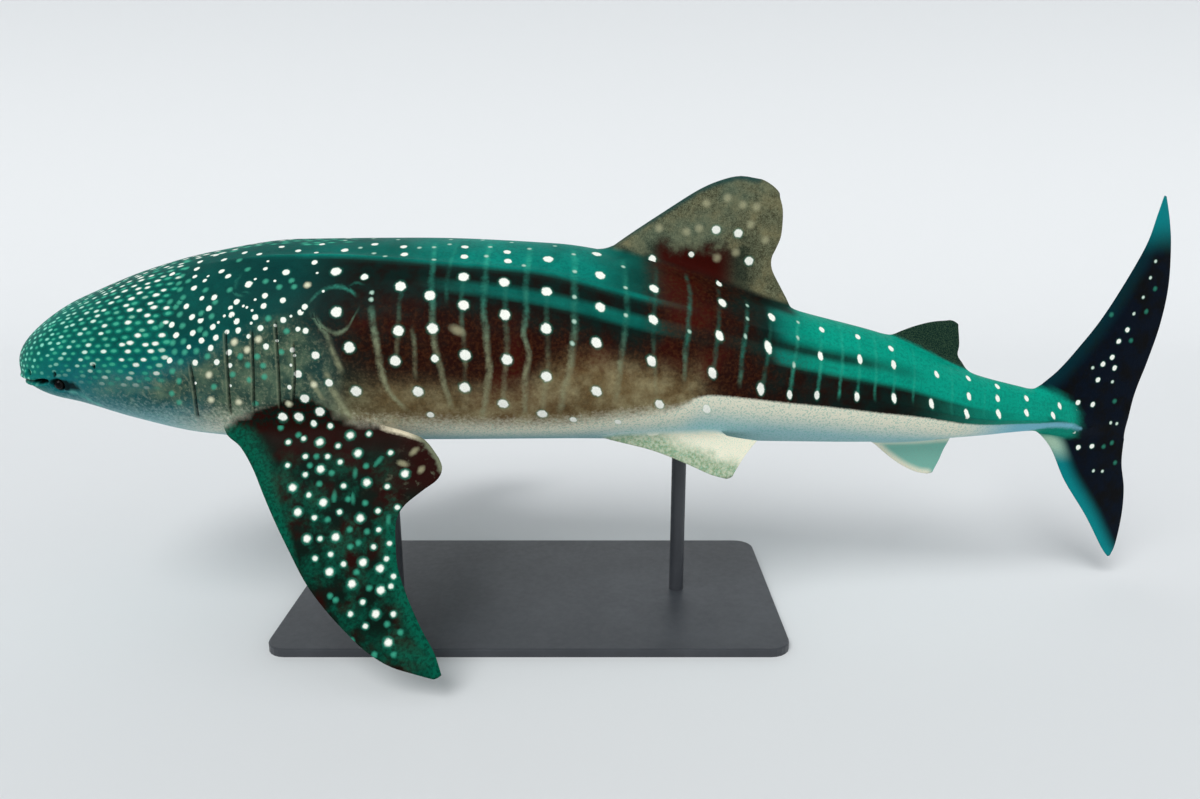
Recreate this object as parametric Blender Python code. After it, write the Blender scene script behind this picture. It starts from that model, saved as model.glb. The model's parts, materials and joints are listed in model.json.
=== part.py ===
# Whale shark, a still life-size model held by a plain display stand.
# Metres, +Z up. The snout points along -X and the animal's left side faces -Y.
# The origin is on the floor, under the middle of the model's box, where the last step moves it.
# Along the body, "station" is the distance back from the snout, and "height"
# is measured from the body's datum line, which the stand lifts off the floor.

import bisect
import math

import bmesh
import bpy
from mathutils import Matrix, Vector

# Whole model
DATUM_LIFT = 1.70              # body datum line above the floor
MEET_GAP = 0.0003              # gap between pieces that touch
SHARP_ANGLE = 40.0             # degrees between faces beyond which an edge is shaded sharp

# The tail swings away to the animal's right
SWAY_START = 4.8
SWAY_SPAN = 2.14
SWAY_REACH = 0.28

# Body form: station, back, belly, half width, widest height, back and belly fullness
BODY_FORM = (
    (0.00, 0.070, -0.250, 0.435, -0.120, 2.2, 2.7),
    (0.26, 0.170, -0.290, 0.470, -0.120, 2.2, 2.8),
    (0.50, 0.275, -0.330, 0.510, -0.120, 2.2, 2.9),
    (0.83, 0.405, -0.445, 0.560, -0.120, 2.2, 2.7),
    (1.18, 0.500, -0.540, 0.600, -0.110, 2.1, 2.5),
    (1.70, 0.575, -0.588, 0.625, -0.080, 2.1, 2.4),
    (2.40, 0.582, -0.595, 0.615, -0.060, 2.1, 2.3),
    (3.20, 0.550, -0.600, 0.560, -0.080, 2.0, 2.2),
    (3.60, 0.485, -0.610, 0.515, -0.110, 2.0, 2.1),
    (4.05, 0.355, -0.625, 0.455, -0.150, 2.0, 2.0),
    (4.60, 0.165, -0.640, 0.365, -0.240, 2.0, 2.0),
    (5.20, 0.000, -0.650, 0.262, -0.350, 2.0, 2.0),
    (5.75, -0.245, -0.632, 0.180, -0.470, 2.0, 2.0),
    (6.12, -0.350, -0.617, 0.120, -0.510, 2.0, 2.0),
    (6.28, -0.395, -0.628, 0.088, -0.535, 2.0, 2.0),
    (6.40, -0.460, -0.650, 0.062, -0.565, 2.0, 2.0),
    (6.50, -0.540, -0.645, 0.040, -0.595, 2.0, 2.0),
)

# The snout starts at this station and rounds in over its length, towards its foremost point
SNOUT_START = 0.08
SNOUT_LENGTH = 0.38
SNOUT_HEIGHT = -0.10
SNOUT_ROUND = {"back": 2.2, "belly": 2.0, "side": 2.2}

# Where the body is parted into lengths, with the rings in each length
BODY_LENGTHS = (
    ("gill_region", 1.16, 1.98, 8),
    ("trunk_front", 1.98, 3.30, 11),
    ("trunk_rear", 3.30, 4.55, 11),
    ("tail_front", 4.55, 5.55, 9),
    ("tail_stock", 5.55, 6.50, 12),
)
HEAD_RINGS = (0.083, 0.094, 0.112, 0.14, 0.18, 0.23, 0.29, 0.36, 0.43, 0.52, 0.64, 0.77, 0.90, 1.03, 1.16)

# Ridges along each flank: angle round from the back at each station, in degrees
RIDGE_PATHS = (
    ((1.3, 26.0), (1.7, 27.6), (2.0, 28.6), (2.3, 31.6), (2.6, 35.0), (3.1, 37.5), (3.4, 43.0), (3.8, 47.5),
     (4.6, 49.0), (6.5, 50.0)),
    ((2.4, 46.0), (2.64, 49.5), (2.94, 52.0), (3.34, 57.5), (3.76, 63.0), (4.4, 65.0),
     (5.5, 66.0), (6.5, 70.0)),
    ((2.6, 78.0), (3.4, 80.0), (4.6, 88.0), (5.4, 90.0), (6.5, 90.0)),
)
RIDGE_RISE = (
    ((0.0, 0.000), (1.3, 0.004), (2.0, 0.014), (4.8, 0.012), (6.0, 0.004), (6.5, 0.000)),
    ((0.0, 0.000), (2.2, 0.000), (2.8, 0.013), (4.8, 0.012), (6.0, 0.004), (6.5, 0.000)),
    ((0.0, 0.000), (2.4, 0.000), (3.4, 0.008), (4.8, 0.014), (5.9, 0.034), (6.3, 0.022), (6.5, 0.004)),
)
RIDGE_FOOT = 3.4               # degrees from a ridge's crest to its foot
TURNS_BETWEEN = (3, 2, 2, 5)   # steps from the back to each ridge, and on to the belly

# Mouth, on the front of the head
MOUTH = {"front": -0.190, "slope": 0.085, "corner": 0.41, "hinge": 0.44, "gape": 0.014}
MOUTH_BLOCK = {"front": -0.2, "reach": 0.8, "floor": -0.6, "lean": 0.06}
LIP = {"radius": 0.014, "steps": 9, "sides": 6, "end_sizes": (0.55, 0.85, 1.0)}
LIP_START = {"step": 0.002, "side": 0.02}

# Eye, nostril and spiracle, placed by station and height
EYE = {"station": 0.495, "height": -0.170, "radius": 0.032, "sunk": 0.016}
EYE_RIM = {"ring": 0.035, "stretch": 1.25, "cord": 0.011, "sunk": 0.002, "steps": 14, "sides": 6}
BALL_STEPS = {"around": 16, "rings": 10}
NOSTRIL = {"station": 0.30, "height": -0.118, "size": (0.012, 0.030, 0.022)}
NOSTRIL_FLAP = {"station": 0.275, "height": -0.128, "size": (0.016, 0.022, 0.020)}
SPIRACLE = {"station": 0.72, "height": -0.060, "size": (0.018, 0.030, 0.026)}

# Gill slits: station, lowest and highest point
GILL_SLITS = (
    (1.285, -0.350, 0.030),
    (1.481, -0.330, 0.145),
    (1.614, -0.315, 0.150),
    (1.752, -0.280, 0.200),
    (1.832, -0.240, 0.090),
)
GILL_FLAP = {"reach": 0.075, "rise": 0.015, "middle": 0.45, "middle_rise": 0.6, "root": 0.024,
             "end_sunk": 0.002, "rows": 8}
GILL_SLOT = {"width": 0.013, "end_width": 0.35, "floor_width": 0.4, "depth": 0.034, "over": 0.030,
             "under": 0.007, "clear": 0.0004}

# How a fin thins towards its tip, and how soon its root line straightens, as powers of its span
FIN_TAPER = 0.8
FIN_BOW = 3

# Fins, as edges in the fin's own plane. Upright fins: station and height
DORSAL_FIRST = {
    "lead": ((3.38, 0.46), (3.575, 0.585), (3.805, 0.724), (4.03, 0.859), (4.17, 0.915), (4.29, 0.932),
             (4.40, 0.912)),
    "trail": ((4.60, 0.190), (4.521, 0.300), (4.468, 0.400), (4.463, 0.467), (4.485, 0.520), (4.512, 0.600),
              (4.514, 0.741), (4.470, 0.865)),
    "root": ((3.38, 0.42), (3.80, 0.33), (4.15, 0.22), (4.27, 0.285), (4.45, 0.238), (4.60, 0.190)),
    "thick": 0.075, "tip": 0.016, "rows": 13,
}
DORSAL_SECOND = {
    "lead": ((5.12, -0.03), (5.178, 0.010), (5.284, 0.049), (5.434, 0.084), (5.55, 0.092)),
    "trail": ((5.72, -0.222), (5.662, -0.170), (5.628, -0.120), (5.631, -0.055), (5.612, 0.060)),
    "root": ((5.12, -0.07), (5.30, -0.12), (5.44, -0.150), (5.52, -0.112), (5.72, -0.222)),
    "thick": 0.034, "tip": 0.009, "rows": 8,
}
ANAL_FIN = {
    "lead": ((5.08, -0.58), (5.142, -0.665), (5.297, -0.791), (5.425, -0.860), (5.505, -0.878)),
    "trail": ((5.640, -0.664), (5.600, -0.725), (5.578, -0.790), (5.545, -0.866)),
    "root": ((5.08, -0.57), (5.42, -0.58), (5.50, -0.668), (5.640, -0.664)),
    "thick": 0.034, "tip": 0.009, "rows": 8,
}
TAIL_UPPER = {
    "lead": ((6.12, -0.4875), (6.15, -0.375), (6.304, -0.238), (6.429, -0.091), (6.552, 0.074),
             (6.682, 0.298), (6.793, 0.526), (6.836, 0.699), (6.862, 0.812)),
    "trail": ((6.850, -0.700), (6.874, -0.444), (6.933, -0.218), (6.985, 0.017), (7.001, 0.256),
              (6.971, 0.504), (6.930, 0.668), (6.880, 0.806)),
    "root": ((6.12, -0.4875), (6.850, -0.700)),
    "thick": 0.046, "tip": 0.010, "rows": 15,
}
TAIL_LOWER = {
    "lead": ((6.12, -0.4881), (6.19, -0.600), (6.323, -0.747), (6.452, -0.972), (6.646, -1.231),
             (6.808, -1.477), (6.868, -1.548)),
    "trail": ((6.850, -0.7006), (6.861, -0.875), (6.912, -1.067), (6.929, -1.260), (6.915, -1.467),
              (6.888, -1.546)),
    "root": ((6.12, -0.4881), (6.850, -0.7006)),
    "thick": 0.046, "tip": 0.010, "rows": 12,
}

# Paired fins: station and distance out along the fin from its root line
PECTORAL = {
    "lead": ((1.36, -0.06), (1.406, 0.083), (1.498, 0.165), (1.581, 0.285), (1.654, 0.426), (1.738, 0.584),
             (1.824, 0.732), (1.915, 0.883), (2.011, 1.005), (2.132, 1.130), (2.254, 1.238), (2.376, 1.310),
             (2.499, 1.348), (2.600, 1.374)),
    "trail": ((2.602, 0.248), (2.590, 0.335), (2.504, 0.410), (2.414, 0.492), (2.378, 0.573), (2.382, 0.690),
              (2.402, 0.821), (2.461, 0.974), (2.533, 1.120), (2.607, 1.247), (2.644, 1.350)),
    "root": ((1.36, -0.06), (1.75, -0.08), (2.10, -0.06), (2.25, 0.040), (2.383, 0.078), (2.50, 0.125),
             (2.602, 0.248)),
    "thick": 0.085, "tip": 0.012, "rows": 15,
}
PECTORAL_ROOT = {"side": 0.52, "height": -0.36}
PECTORAL_DROOP = {"left": 52.0, "right": 18.0}
PECTORAL_CURL = 6.0            # further droop in each metre outwards
PELVIC = {
    "lead": ((3.33, -0.03), (3.453, 0.046), (3.750, 0.112), (3.963, 0.192), (4.092, 0.250), (4.185, 0.275)),
    "trail": ((4.370, 0.055), (4.322, 0.110), (4.280, 0.168), (4.225, 0.255)),
    "root": ((3.33, -0.06), (3.90, -0.08), (4.08, -0.05), (4.17, 0.020), (4.370, 0.055)),
    "thick": 0.040, "tip": 0.009, "rows": 8,
}
PELVIC_ROOT = {"side": 0.30, "height": -0.50}
PELVIC_DROOP = 68.0
PELVIC_CURL = 0.0

# A fin's section: share of its chord, and share of its thickness there
FOIL = (
    (0.0, 0.0), (0.04, 0.52), (0.13, 0.86), (0.30, 1.0), (0.55, 0.78), (0.78, 0.44), (0.90, 0.25), (1.0, 0.10),
)

# Stand
BASE = {"length": 3.0, "width": 1.5, "height": 0.05, "corner": 0.12, "corner_steps": 6, "edge": 0.008,
        "edge_steps": 2}
ROD = {"radius": 0.045, "stations": (2.15, 3.95), "sides": 24, "into_body": 0.10}

# Colours: base colour, roughness, metallic
FINISH = {
    "skin_dark": ((0.030, 0.060, 0.055, 1.0), 0.45, 0.0),
    "skin_pale": ((0.55, 0.62, 0.58, 1.0), 0.50, 0.0),
    "eye": ((0.01, 0.01, 0.012, 1.0), 0.08, 0.0),
    "stand_paint": ((0.045, 0.048, 0.052, 1.0), 0.40, 0.0),
}


def clear_scene():
    for item in list(bpy.data.objects):
        bpy.data.objects.remove(item, do_unlink=True)


def finish(name):
    material = bpy.data.materials.get(name)
    if material is None:
        colour, roughness, metallic = FINISH[name]
        material = bpy.data.materials.new(name)
        material.use_nodes = True
        shader = material.node_tree.nodes["Principled BSDF"]
        shader.inputs["Base Color"].default_value = colour
        shader.inputs["Roughness"].default_value = roughness
        shader.inputs["Metallic"].default_value = metallic
    return material


# Curves through named points

def slopes(places, values):
    """Slopes that keep a curve through the points free of overshoot."""
    steps = [(values[i + 1] - values[i]) / (places[i + 1] - places[i]) for i in range(len(places) - 1)]
    inner = [0.0 if a * b <= 0.0 else 2.0 * a * b / (a + b) for a, b in zip(steps, steps[1:])]
    return [steps[0]] + inner + [steps[-1]]


def read_curve(points, place):
    """Value at a place along a smooth curve through (place, value) points."""
    places = [point[0] for point in points]
    values = [point[1] for point in points]
    if place <= places[0]:
        return values[0]
    if place >= places[-1]:
        return values[-1]
    i = bisect.bisect_right(places, place) - 1
    lean = slopes(places, values)
    span = places[i + 1] - places[i]
    t = (place - places[i]) / span
    start = (1 + 2 * t) * (1 - t) ** 2 * values[i] + t * (1 - t) ** 2 * span * lean[i]
    end = t * t * (3 - 2 * t) * values[i + 1] - t * t * (1 - t) * span * lean[i + 1]
    return start + end


def edge_point(points, share):
    """Point at a share of the way along a smooth edge through flat points."""
    lengths = [0.0]
    for a, b in zip(points, points[1:]):
        lengths.append(lengths[-1] + math.dist(a, b))
    place = share * lengths[-1]
    i = min(bisect.bisect_right(lengths, place) - 1, len(points) - 2)
    t = (place - lengths[i]) / (lengths[i + 1] - lengths[i])
    before = points[max(i - 1, 0)]
    after = points[min(i + 2, len(points) - 1)]
    result = []
    for k in range(2):
        a, b = points[i][k], points[i + 1][k]
        lean_in = 0.5 * (b - before[k])
        lean_out = 0.5 * (after[k] - a)
        value = (2 * t ** 3 - 3 * t ** 2 + 1) * a + (t ** 3 - 2 * t ** 2 + t) * lean_in
        value += (3 * t ** 2 - 2 * t ** 3) * b + (t ** 3 - t ** 2) * lean_out
        result.append(value)
    return result


# The body's surface

def sway(station):
    return SWAY_REACH * max(0.0, (station - SWAY_START) / SWAY_SPAN) ** 2


def snout_share(station, power):
    share = (station - SNOUT_START) / SNOUT_LENGTH
    if share >= 1.0:
        return 1.0
    return (1.0 - (1.0 - max(0.0, share)) ** power) ** (1.0 / power)


def section(station):
    """Back, belly, half width, widest height and both fullnesses at a station."""
    back, belly, half, widest, upper, lower = (
        read_curve([(row[0], row[k]) for row in BODY_FORM], station) for k in range(1, 7)
    )
    back = SNOUT_HEIGHT + (back - SNOUT_HEIGHT) * snout_share(station, SNOUT_ROUND["back"])
    belly = SNOUT_HEIGHT + (belly - SNOUT_HEIGHT) * snout_share(station, SNOUT_ROUND["belly"])
    widest = SNOUT_HEIGHT + (widest - SNOUT_HEIGHT) * snout_share(station, SNOUT_ROUND["back"])
    half *= snout_share(station, SNOUT_ROUND["side"])
    return back, belly, half, widest, upper, lower


def side_at(station, height):
    """Distance from the midline to the skin at a station and height."""
    back, belly, half, widest, upper, lower = section(station)
    reach = back - widest if height > widest else widest - belly
    power = upper if height > widest else lower
    share = min(1.0, abs(height - widest) / reach)
    return half * (1.0 - share ** power) ** (1.0 / power)


def place(station, side, height):
    return Vector((station, side + sway(station), height + DATUM_LIFT))


def ring_turns(station):
    """Angles round half the body, with a crest and two feet for each ridge."""
    crests = [read_curve(path, station) for path in RIDGE_PATHS]
    rises = [read_curve(path, station) for path in RIDGE_RISE]
    turns = [(0.0, 0.0)]
    start = 0.0
    for crest, rise, steps in zip(crests, rises, TURNS_BETWEEN):
        foot = crest - RIDGE_FOOT
        turns += [(start + (foot - start) * k / steps, 0.0) for k in range(1, steps + 1)]
        turns += [(crest, rise), (crest + RIDGE_FOOT, 0.0)]
        start = crest + RIDGE_FOOT
    steps = TURNS_BETWEEN[-1]
    turns += [(start + (180.0 - start) * k / steps, 0.0) for k in range(1, steps + 1)]
    return turns


def half_ring(station, proud):
    back, belly, half, widest, upper, lower = section(station)
    points = []
    for turn, rise in ring_turns(station):
        angle = math.radians(turn)
        out, up = math.sin(angle), math.cos(angle)
        power = upper if up >= 0.0 else lower
        reach = back - widest if up >= 0.0 else widest - belly
        side = (half + proud + rise) * max(0.0, out) ** (2.0 / power)
        height = widest + math.copysign((reach + proud + rise) * abs(up) ** (2.0 / power), up)
        points.append((side, height))
    return points


def body_mesh(name, stations, proud=0.0, closes_at_snout=False):
    """Closed loft through the body's rings at these stations."""
    shape = bmesh.new()
    rings = []
    for station in stations:
        half = half_ring(station, proud)
        around = [(-side, height) for side, height in half] + half[-2:0:-1]
        rings.append([shape.verts.new(place(station, side, height)) for side, height in around])
    for ring, following in zip(rings, rings[1:]):
        for k in range(len(ring)):
            m = (k + 1) % len(ring)
            shape.faces.new((ring[k], ring[m], following[m], following[k]))
    count = len(rings[0])
    if closes_at_snout:
        nose = shape.verts.new(place(SNOUT_START, 0.0, SNOUT_HEIGHT))
        for k in range(count):
            shape.faces.new((nose, rings[0][(k + 1) % count], rings[0][k]))
    else:
        cap_ring(shape, rings[0])
    cap_ring(shape, rings[-1])
    return solid(name, shape)


def cap_ring(shape, ring):
    """Flat end face, in strips from one flank to the other."""
    count = len(ring)
    for k in range(count // 2):
        a, b = k, k + 1
        c, d = (count - k - 1) % count, (count - k) % count
        corners = []
        for index in (a, b, c, d):
            if ring[index] not in corners:
                corners.append(ring[index])
        if len(corners) > 2:
            shape.faces.new(corners)


def solid(name, shape, material="skin_dark"):
    """Turn a bmesh into an object of triangles with its faces pointing out."""
    bmesh.ops.triangulate(shape, faces=shape.faces[:], quad_method="FIXED")
    bmesh.ops.recalc_face_normals(shape, faces=shape.faces[:])
    mesh = bpy.data.meshes.new(name)
    shape.to_mesh(mesh)
    shape.free()
    if signed_volume(mesh) < 0.0:
        mesh.flip_normals()
    mesh.materials.append(finish(material))
    mesh.shade_smooth()
    mesh.set_sharp_from_angle(angle=math.radians(SHARP_ANGLE))
    item = bpy.data.objects.new(name, mesh)
    bpy.context.scene.collection.objects.link(item)
    return item


def signed_volume(mesh):
    total = 0.0
    mesh.calc_loop_triangles()
    for triangle in mesh.loop_triangles:
        a, b, c = (mesh.vertices[index].co for index in triangle.vertices)
        total += a.dot(b.cross(c)) / 6.0
    return total


# Joining and cutting

def combine(target, tools, operation):
    """Apply one Boolean with every tool, then remove the tools."""
    group = bpy.data.collections.new(target.name + "_tools")
    bpy.context.scene.collection.children.link(group)
    for tool in tools:
        bpy.context.scene.collection.objects.unlink(tool)
        group.objects.link(tool)
    change = target.modifiers.new(operation, "BOOLEAN")
    change.operation = operation
    change.operand_type = "COLLECTION"
    change.collection = group
    change.solver = "EXACT"
    bpy.context.view_layer.update()
    evaluated = target.evaluated_get(bpy.context.evaluated_depsgraph_get())
    result = bpy.data.meshes.new_from_object(evaluated)
    target.modifiers.clear()
    target.data = result
    for tool in tools:
        bpy.data.objects.remove(tool, do_unlink=True)
    bpy.data.collections.remove(group)
    keep_largest(target)


def keep_largest(target):
    """Keep only the largest closed surface, as triangles."""
    shape = bmesh.new()
    shape.from_mesh(target.data)
    bmesh.ops.triangulate(shape, faces=shape.faces[:])
    waiting = set(shape.faces)
    groups = []
    while waiting:
        group, edge = [], [waiting.pop()]
        while edge:
            face = edge.pop()
            group.append(face)
            for side in face.edges:
                for neighbour in side.link_faces:
                    if neighbour in waiting:
                        waiting.remove(neighbour)
                        edge.append(neighbour)
        groups.append(group)
    groups.sort(key=len)
    scraps = [face for group in groups[:-1] for face in group]
    if scraps:
        bmesh.ops.delete(shape, geom=scraps, context="FACES")
        loose = [vertex for vertex in shape.verts if not vertex.link_faces]
        bmesh.ops.delete(shape, geom=loose, context="VERTS")
    shape.to_mesh(target.data)
    shape.free()
    target.data.shade_smooth()
    target.data.set_sharp_from_angle(angle=math.radians(SHARP_ANGLE))


def loft_stations(start, end, rings):
    return [start + (end - start) * k / rings for k in range(rings + 1)]


def body_cutter(names):
    """The body grown by the meeting gap, over the named lengths, to cut a fin's root."""
    stations = []
    for name, start, end, rings in BODY_LENGTHS:
        if name in names:
            stations += [station for station in loft_stations(start, end, rings) if station not in stations]
    return body_mesh("body_cutter", stations, proud=MEET_GAP)


# Fins

def fin_mesh(name, form, put, material="skin_dark"):
    """Closed foil between a leading and a trailing edge, with a bowed root line."""
    shape = bmesh.new()
    rows = form["rows"]
    upper, under = [], []
    for r in range(rows + 1):
        span = r / rows
        lead = edge_point(form["lead"], span)
        trail = edge_point(form["trail"], span)
        first = edge_point(form["lead"], 0.0)
        last = edge_point(form["trail"], 0.0)
        thick = form["thick"] + (form["tip"] - form["thick"]) * span ** FIN_TAPER
        over_row, under_row = [], []
        for share, fullness in FOIL:
            root = edge_point(form["root"], share)
            bow = (1.0 - span) ** FIN_BOW
            spot = []
            for k in range(2):
                chord = lead[k] * (1.0 - share) + trail[k] * share
                straight = first[k] * (1.0 - share) + last[k] * share
                spot.append(chord + bow * (root[k] - straight))
            half = 0.5 * thick * fullness
            over_row.append(shape.verts.new(put(spot[0], spot[1], half)))
            under_row.append(over_row[0] if share == 0.0 else shape.verts.new(put(spot[0], spot[1], -half)))
        upper.append(over_row)
        under.append(under_row)
    columns = len(FOIL)
    for r in range(rows):
        for c in range(columns - 1):
            for grid, turned in ((upper, False), (under, True)):
                a, b = grid[r][c], grid[r][c + 1]
                d, e = grid[r + 1][c], grid[r + 1][c + 1]
                add_face(shape, (a, b, e), turned)
                add_face(shape, (a, e, d), turned)
        rear = (upper[r][-1], under[r][-1], under[r + 1][-1], upper[r + 1][-1])
        add_face(shape, rear, False)
    for r in (0, rows):
        for c in range(columns - 1):
            corners = (upper[r][c + 1], upper[r][c], under[r][c], under[r][c + 1])
            add_face(shape, corners, r == rows)
    return solid(name, shape, material)


def add_face(shape, corners, turned):
    unique = []
    for corner in corners:
        if corner not in unique:
            unique.append(corner)
    if turned:
        unique.reverse()
    if len(unique) > 2:
        shape.faces.new(unique)


def upright(station, height, offset):
    return place(station, offset, height)


def drooping(root, droop, curl, sign):
    """Placement of a paired fin whose blade falls away from the body's side."""
    def put(station, out, offset):
        angle = math.radians(droop + curl * max(0.0, out))
        side = root["side"] + out * math.cos(angle) + offset * math.sin(angle)
        height = root["height"] - out * math.sin(angle) + offset * math.cos(angle)
        return place(station, sign * side, height)
    return put


# Head

def ellipsoid(name, centre, size, segments=10, rings=6):
    shape = bmesh.new()
    bmesh.ops.create_uvsphere(shape, u_segments=segments, v_segments=rings, radius=1.0)
    bmesh.ops.scale(shape, vec=Vector(size), verts=shape.verts[:])
    bmesh.ops.translate(shape, vec=centre, verts=shape.verts[:])
    return solid(name, shape)


def skin_spot(spot, sign, sunk=0.0):
    side = side_at(spot["station"], spot["height"]) - sunk
    return place(spot["station"], sign * side, spot["height"])


def eyeball(name, sign, radius):
    centre = skin_spot(EYE, sign, EYE["sunk"])
    return ellipsoid(name, centre, (radius, radius, radius), BALL_STEPS["around"], BALL_STEPS["rings"])


def mouth_height(station):
    return MOUTH["front"] + MOUTH["slope"] * station


def mouth_block(name, offset, hinge):
    """Everything below the mouth line and ahead of the jaw's hinge."""
    shape = bmesh.new()
    start, floor = MOUTH_BLOCK["front"], MOUTH_BLOCK["floor"]
    corners = []
    for side in (-MOUTH_BLOCK["reach"], MOUTH_BLOCK["reach"]):
        front = place(start, side, mouth_height(start) + offset)
        rear = place(hinge, side, mouth_height(hinge) + offset)
        rear_low = place(hinge + MOUTH_BLOCK["lean"], side, floor)
        front_low = place(start, side, floor)
        corners.append([shape.verts.new(point) for point in (front, rear, rear_low, front_low)])
    left, right = corners
    shape.faces.new(left)
    shape.faces.new(right[::-1])
    for k in range(4):
        m = (k + 1) % 4
        shape.faces.new((left[k], left[m], right[m], right[k]))
    return solid(name, shape)


def lip_bead(name, offset):
    """Rounded lip along the mouth line, from one corner round the front to the other."""
    front = SNOUT_START + LIP_START["step"]
    while side_at(front, mouth_height(front) + offset) < LIP_START["side"]:
        front += LIP_START["step"]
    path = []
    steps = LIP["steps"]
    for k in range(-steps, steps + 1):
        share = abs(k) / steps
        station = front + (MOUTH["corner"] - front) * share ** 2
        height = mouth_height(station) + offset
        side = side_at(station, height) * (share and 1.0)
        path.append(place(station, math.copysign(side, k), height))
    return tube(name, path, LIP["radius"], LIP["sides"], LIP["end_sizes"])


def tube(name, path, radius, sides, end_sizes):
    """Closed tube along a path, tapered at both ends."""
    shape = bmesh.new()
    rings = []
    for i, point in enumerate(path):
        ahead = path[min(i + 1, len(path) - 1)] - path[max(i - 1, 0)]
        across = ahead.cross(Vector((0.0, 0.0, 1.0))).normalized()
        up = across.cross(ahead).normalized()
        nearness = min(i, len(path) - 1 - i)
        size = radius * end_sizes[min(nearness, len(end_sizes) - 1)]
        ring = []
        for k in range(sides):
            angle = 2.0 * math.pi * (k + 0.5) / sides
            ring.append(
                shape.verts.new(point + across * size * math.cos(angle) + up * size * math.sin(angle))
            )
        rings.append(ring)
    for ring, following in zip(rings, rings[1:]):
        for k in range(sides):
            m = (k + 1) % sides
            shape.faces.new((ring[k], ring[m], following[m], following[k]))
    shape.faces.new(rings[0])
    shape.faces.new(rings[-1][::-1])
    return solid(name, shape)


def eye_rim(name, sign):
    """Fold of skin round the eye, on the side of the head."""
    centre = skin_spot(EYE, sign, EYE_RIM["sunk"])
    path = []
    for k in range(EYE_RIM["steps"]):
        angle = 2.0 * math.pi * k / EYE_RIM["steps"]
        station = EYE["station"] + EYE_RIM["stretch"] * EYE_RIM["ring"] * math.cos(angle)
        height = EYE["height"] + EYE_RIM["ring"] * math.sin(angle)
        side = side_at(station, height)
        path.append(place(station, sign * side, height))
    shape = bmesh.new()
    rings = []
    for i, point in enumerate(path):
        outward = (point - centre).normalized()
        axis = Vector((0.0, float(sign), 0.0))
        ring = []
        for k in range(EYE_RIM["sides"]):
            angle = 2.0 * math.pi * k / EYE_RIM["sides"]
            shift = outward * math.cos(angle) + axis * math.sin(angle)
            ring.append(shape.verts.new(point + shift * EYE_RIM["cord"]))
        rings.append(ring)
    for i in range(len(rings)):
        ring, following = rings[i], rings[(i + 1) % len(rings)]
        for k in range(EYE_RIM["sides"]):
            m = (k + 1) % EYE_RIM["sides"]
            shape.faces.new((ring[k], ring[m], following[m], following[k]))
    return solid(name, shape)


def make_head():
    head = body_mesh("head", list(HEAD_RINGS[:-1]) + [HEAD_RINGS[-1] - 0.5 * MEET_GAP], closes_at_snout=True)
    jaw = body_mesh("jaw_lower", HEAD_RINGS, closes_at_snout=True)
    gape = 0.5 * MOUTH["gape"]
    combine(jaw, [mouth_block("jaw_block", -gape, MOUTH["hinge"])], "INTERSECT")
    combine(jaw, [lip_bead("lip_lower", -gape - LIP["radius"])], "UNION")
    combine(head, [mouth_block("head_block", gape, MOUTH["hinge"] + MEET_GAP)], "DIFFERENCE")
    added = [lip_bead("lip_upper", gape + LIP["radius"])]
    sockets = []
    for sign in (-1, 1):
        added.append(eye_rim("eye_rim", sign))
        added.append(ellipsoid("nostril_flap", skin_spot(NOSTRIL_FLAP, sign), NOSTRIL_FLAP["size"]))
        sockets.append(ellipsoid("nostril", skin_spot(NOSTRIL, sign), NOSTRIL["size"]))
        sockets.append(ellipsoid("spiracle", skin_spot(SPIRACLE, sign), SPIRACLE["size"]))
        sockets.append(eyeball("socket", sign, EYE["radius"] + MEET_GAP))
    combine(head, added, "UNION")
    combine(head, sockets, "DIFFERENCE")
    for sign, side in ((-1, "left"), (1, "right")):
        eye = eyeball("eye_" + side, sign, EYE["radius"])
        eye.data.materials.clear()
        eye.data.materials.append(finish("eye"))


# Gills

def strip(name, profile_at, low, high, rows):
    """Closed strip of four-sided sections between two heights."""
    shape = bmesh.new()
    rings = []
    for r in range(rows + 1):
        share = r / rows
        height = low + (high - low) * share
        rings.append([shape.verts.new(point) for point in profile_at(height, share)])
    for ring, following in zip(rings, rings[1:]):
        for k in range(4):
            m = (k + 1) % 4
            shape.faces.new((ring[k], ring[m], following[m], following[k]))
    shape.faces.new(rings[0])
    shape.faces.new(rings[-1][::-1])
    return solid(name, shape)


def gill_flap(station, low, high, sign):
    def profile(height, share):
        rise = GILL_FLAP["rise"] * math.sin(math.pi * share) - GILL_FLAP["end_sunk"]
        spots = (
            (station - GILL_FLAP["reach"], -0.5 * GILL_FLAP["root"]),
            (station - GILL_FLAP["middle"] * GILL_FLAP["reach"], GILL_FLAP["middle_rise"] * rise),
            (station, rise),
            (station, -GILL_FLAP["root"]),
        )
        return [place(x, sign * (side_at(x, height) + out), height) for x, out in spots]
    return strip("gill_flap", profile, low, high, GILL_FLAP["rows"])


def gill_slot(station, low, high, sign):
    def profile(height, share):
        middle = math.sin(math.pi * share)
        width = GILL_SLOT["width"] * (GILL_SLOT["end_width"] * (1.0 - middle) + middle)
        spots = (
            (station + GILL_SLOT["clear"], GILL_SLOT["over"]),
            (station + width, GILL_SLOT["over"]),
            (station + GILL_SLOT["floor_width"] * width, -GILL_SLOT["depth"]),
            (station - GILL_SLOT["under"], -GILL_SLOT["depth"]),
        )
        return [place(x, sign * (side_at(x, height) + out), height) for x, out in spots]
    return strip("gill_slot", profile, low, high, GILL_FLAP["rows"])


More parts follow.
